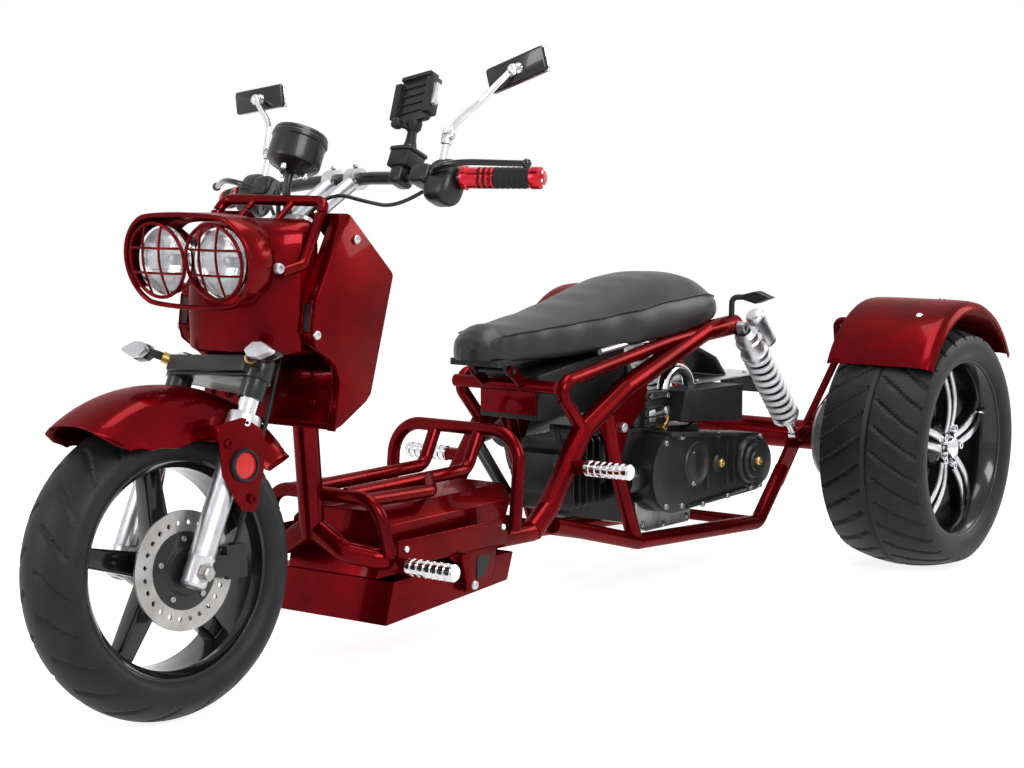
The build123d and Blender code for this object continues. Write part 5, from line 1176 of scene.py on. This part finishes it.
# Camera, light and floor
scene = bpy.context.scene
scene.view_settings.view_transform = "Standard"
camera = bpy.data.objects.new("camera", bpy.data.cameras.new("camera"))
scene.collection.objects.link(camera)
scene.camera = camera
camera.data.sensor_fit = "HORIZONTAL"
camera.data.angle = 2 * math.atan(512 / 2162)
yaw, pitch, roll = math.radians(53.91), math.radians(6.47), math.radians(-0.05)
look = Vector((-math.sin(yaw) * math.cos(pitch), -math.cos(yaw) * math.cos(pitch), -math.sin(pitch)))
camera.location = (3.3286, 2.4276, 0.9165)
camera.rotation_euler = (look.to_track_quat("-Z", "Y").to_matrix() @ Matrix.Rotation(roll, 3, "Z")).to_euler()


def lamp(name, place_at, aim, size, power, color=(1, 1, 1)):
    light = bpy.data.lights.new(name, "AREA")
    light.shape = "RECTANGLE"
    light.size, light.size_y = size
    light.energy = power
    light.color = color
    obj = bpy.data.objects.new(name, light)
    scene.collection.objects.link(obj)
    obj.location = place_at
    obj.rotation_euler = (Vector(aim) - Vector(place_at)).to_track_quat("-Z", "Y").to_euler()


lamp("key", (2.2, 3.4, 2.8), (0.2, 0, 0.4), (2.2, 1.6), 120)
lamp("top", (-0.3, 0.4, 3.6), (-0.1, 0, 0.4), (3.2, 1.4), 80)
lamp("nose", (4.2, -1.6, 2.0), (0.6, 0, 0.6), (1.4, 1.8), 60)
lamp("rear", (-3.0, 2.0, 2.0), (-0.6, 0.2, 0.4), (1.6, 1.6), 50)

world = bpy.data.worlds.new("studio")
scene.world = world
world.use_nodes = True
tree = world.node_tree
back = tree.nodes["Background"]
back.inputs["Color"].default_value = (1, 1, 1, 1)
back.inputs["Strength"].default_value = 0.26
shown = tree.nodes.new("ShaderNodeBackground")
shown.inputs["Color"].default_value = (1, 1, 1, 1)
shown.inputs["Strength"].default_value = 1.0


def seen_rays(tree):
    """One where the ray comes straight from the camera, a mirror or glass."""
    path = tree.nodes.new("ShaderNodeLightPath")
    total = path.outputs["Is Camera Ray"]
    for name in ("Is Glossy Ray", "Is Transmission Ray"):
        add = tree.nodes.new("ShaderNodeMath")
        add.operation = "MAXIMUM"
        tree.links.new(total, add.inputs[0])
        tree.links.new(path.outputs[name], add.inputs[1])
        total = add.outputs[0]
    return total


mix = tree.nodes.new("ShaderNodeMixShader")
tree.links.new(seen_rays(tree), mix.inputs[0])
tree.links.new(back.outputs[0], mix.inputs[1])
tree.links.new(shown.outputs[0], mix.inputs[2])
tree.links.new(mix.outputs[0], tree.nodes["World Output"].inputs["Surface"])

floor_mesh = bpy.data.meshes.new("floor")
floor_mesh.from_pydata([(-14, -14, 0), (14, -14, 0), (14, 14, 0), (-14, 14, 0)], [], [(0, 1, 2, 3)])
floor = bpy.data.objects.new("floor", floor_mesh)
scene.collection.objects.link(floor)
floor_mat = bpy.data.materials.new("floor_pale")
floor_mat.use_nodes = True
tree = floor_mat.node_tree
shader = tree.nodes["Principled BSDF"]
shader.inputs["Base Color"].default_value = (0.85, 0.85, 0.85, 1)
shader.inputs["Roughness"].default_value = 0.9
shader.inputs["Specular IOR Level"].default_value = 0.1
glow = tree.nodes.new("ShaderNodeEmission")
glow.inputs["Strength"].default_value = 1.74
lit = tree.nodes.new("ShaderNodeMixShader")
lit.inputs[0].default_value = 0.5
tree.links.new(shader.outputs[0], lit.inputs[1])
tree.links.new(glow.outputs[0], lit.inputs[2])
pick = tree.nodes.new("ShaderNodeMixShader")
tree.links.new(seen_rays(tree), pick.inputs[0])
tree.links.new(shader.outputs[0], pick.inputs[1])
tree.links.new(lit.outputs[0], pick.inputs[2])
tree.links.new(pick.outputs[0], tree.nodes["Material Output"].inputs["Surface"])
floor_mesh.materials.append(floor_mat)
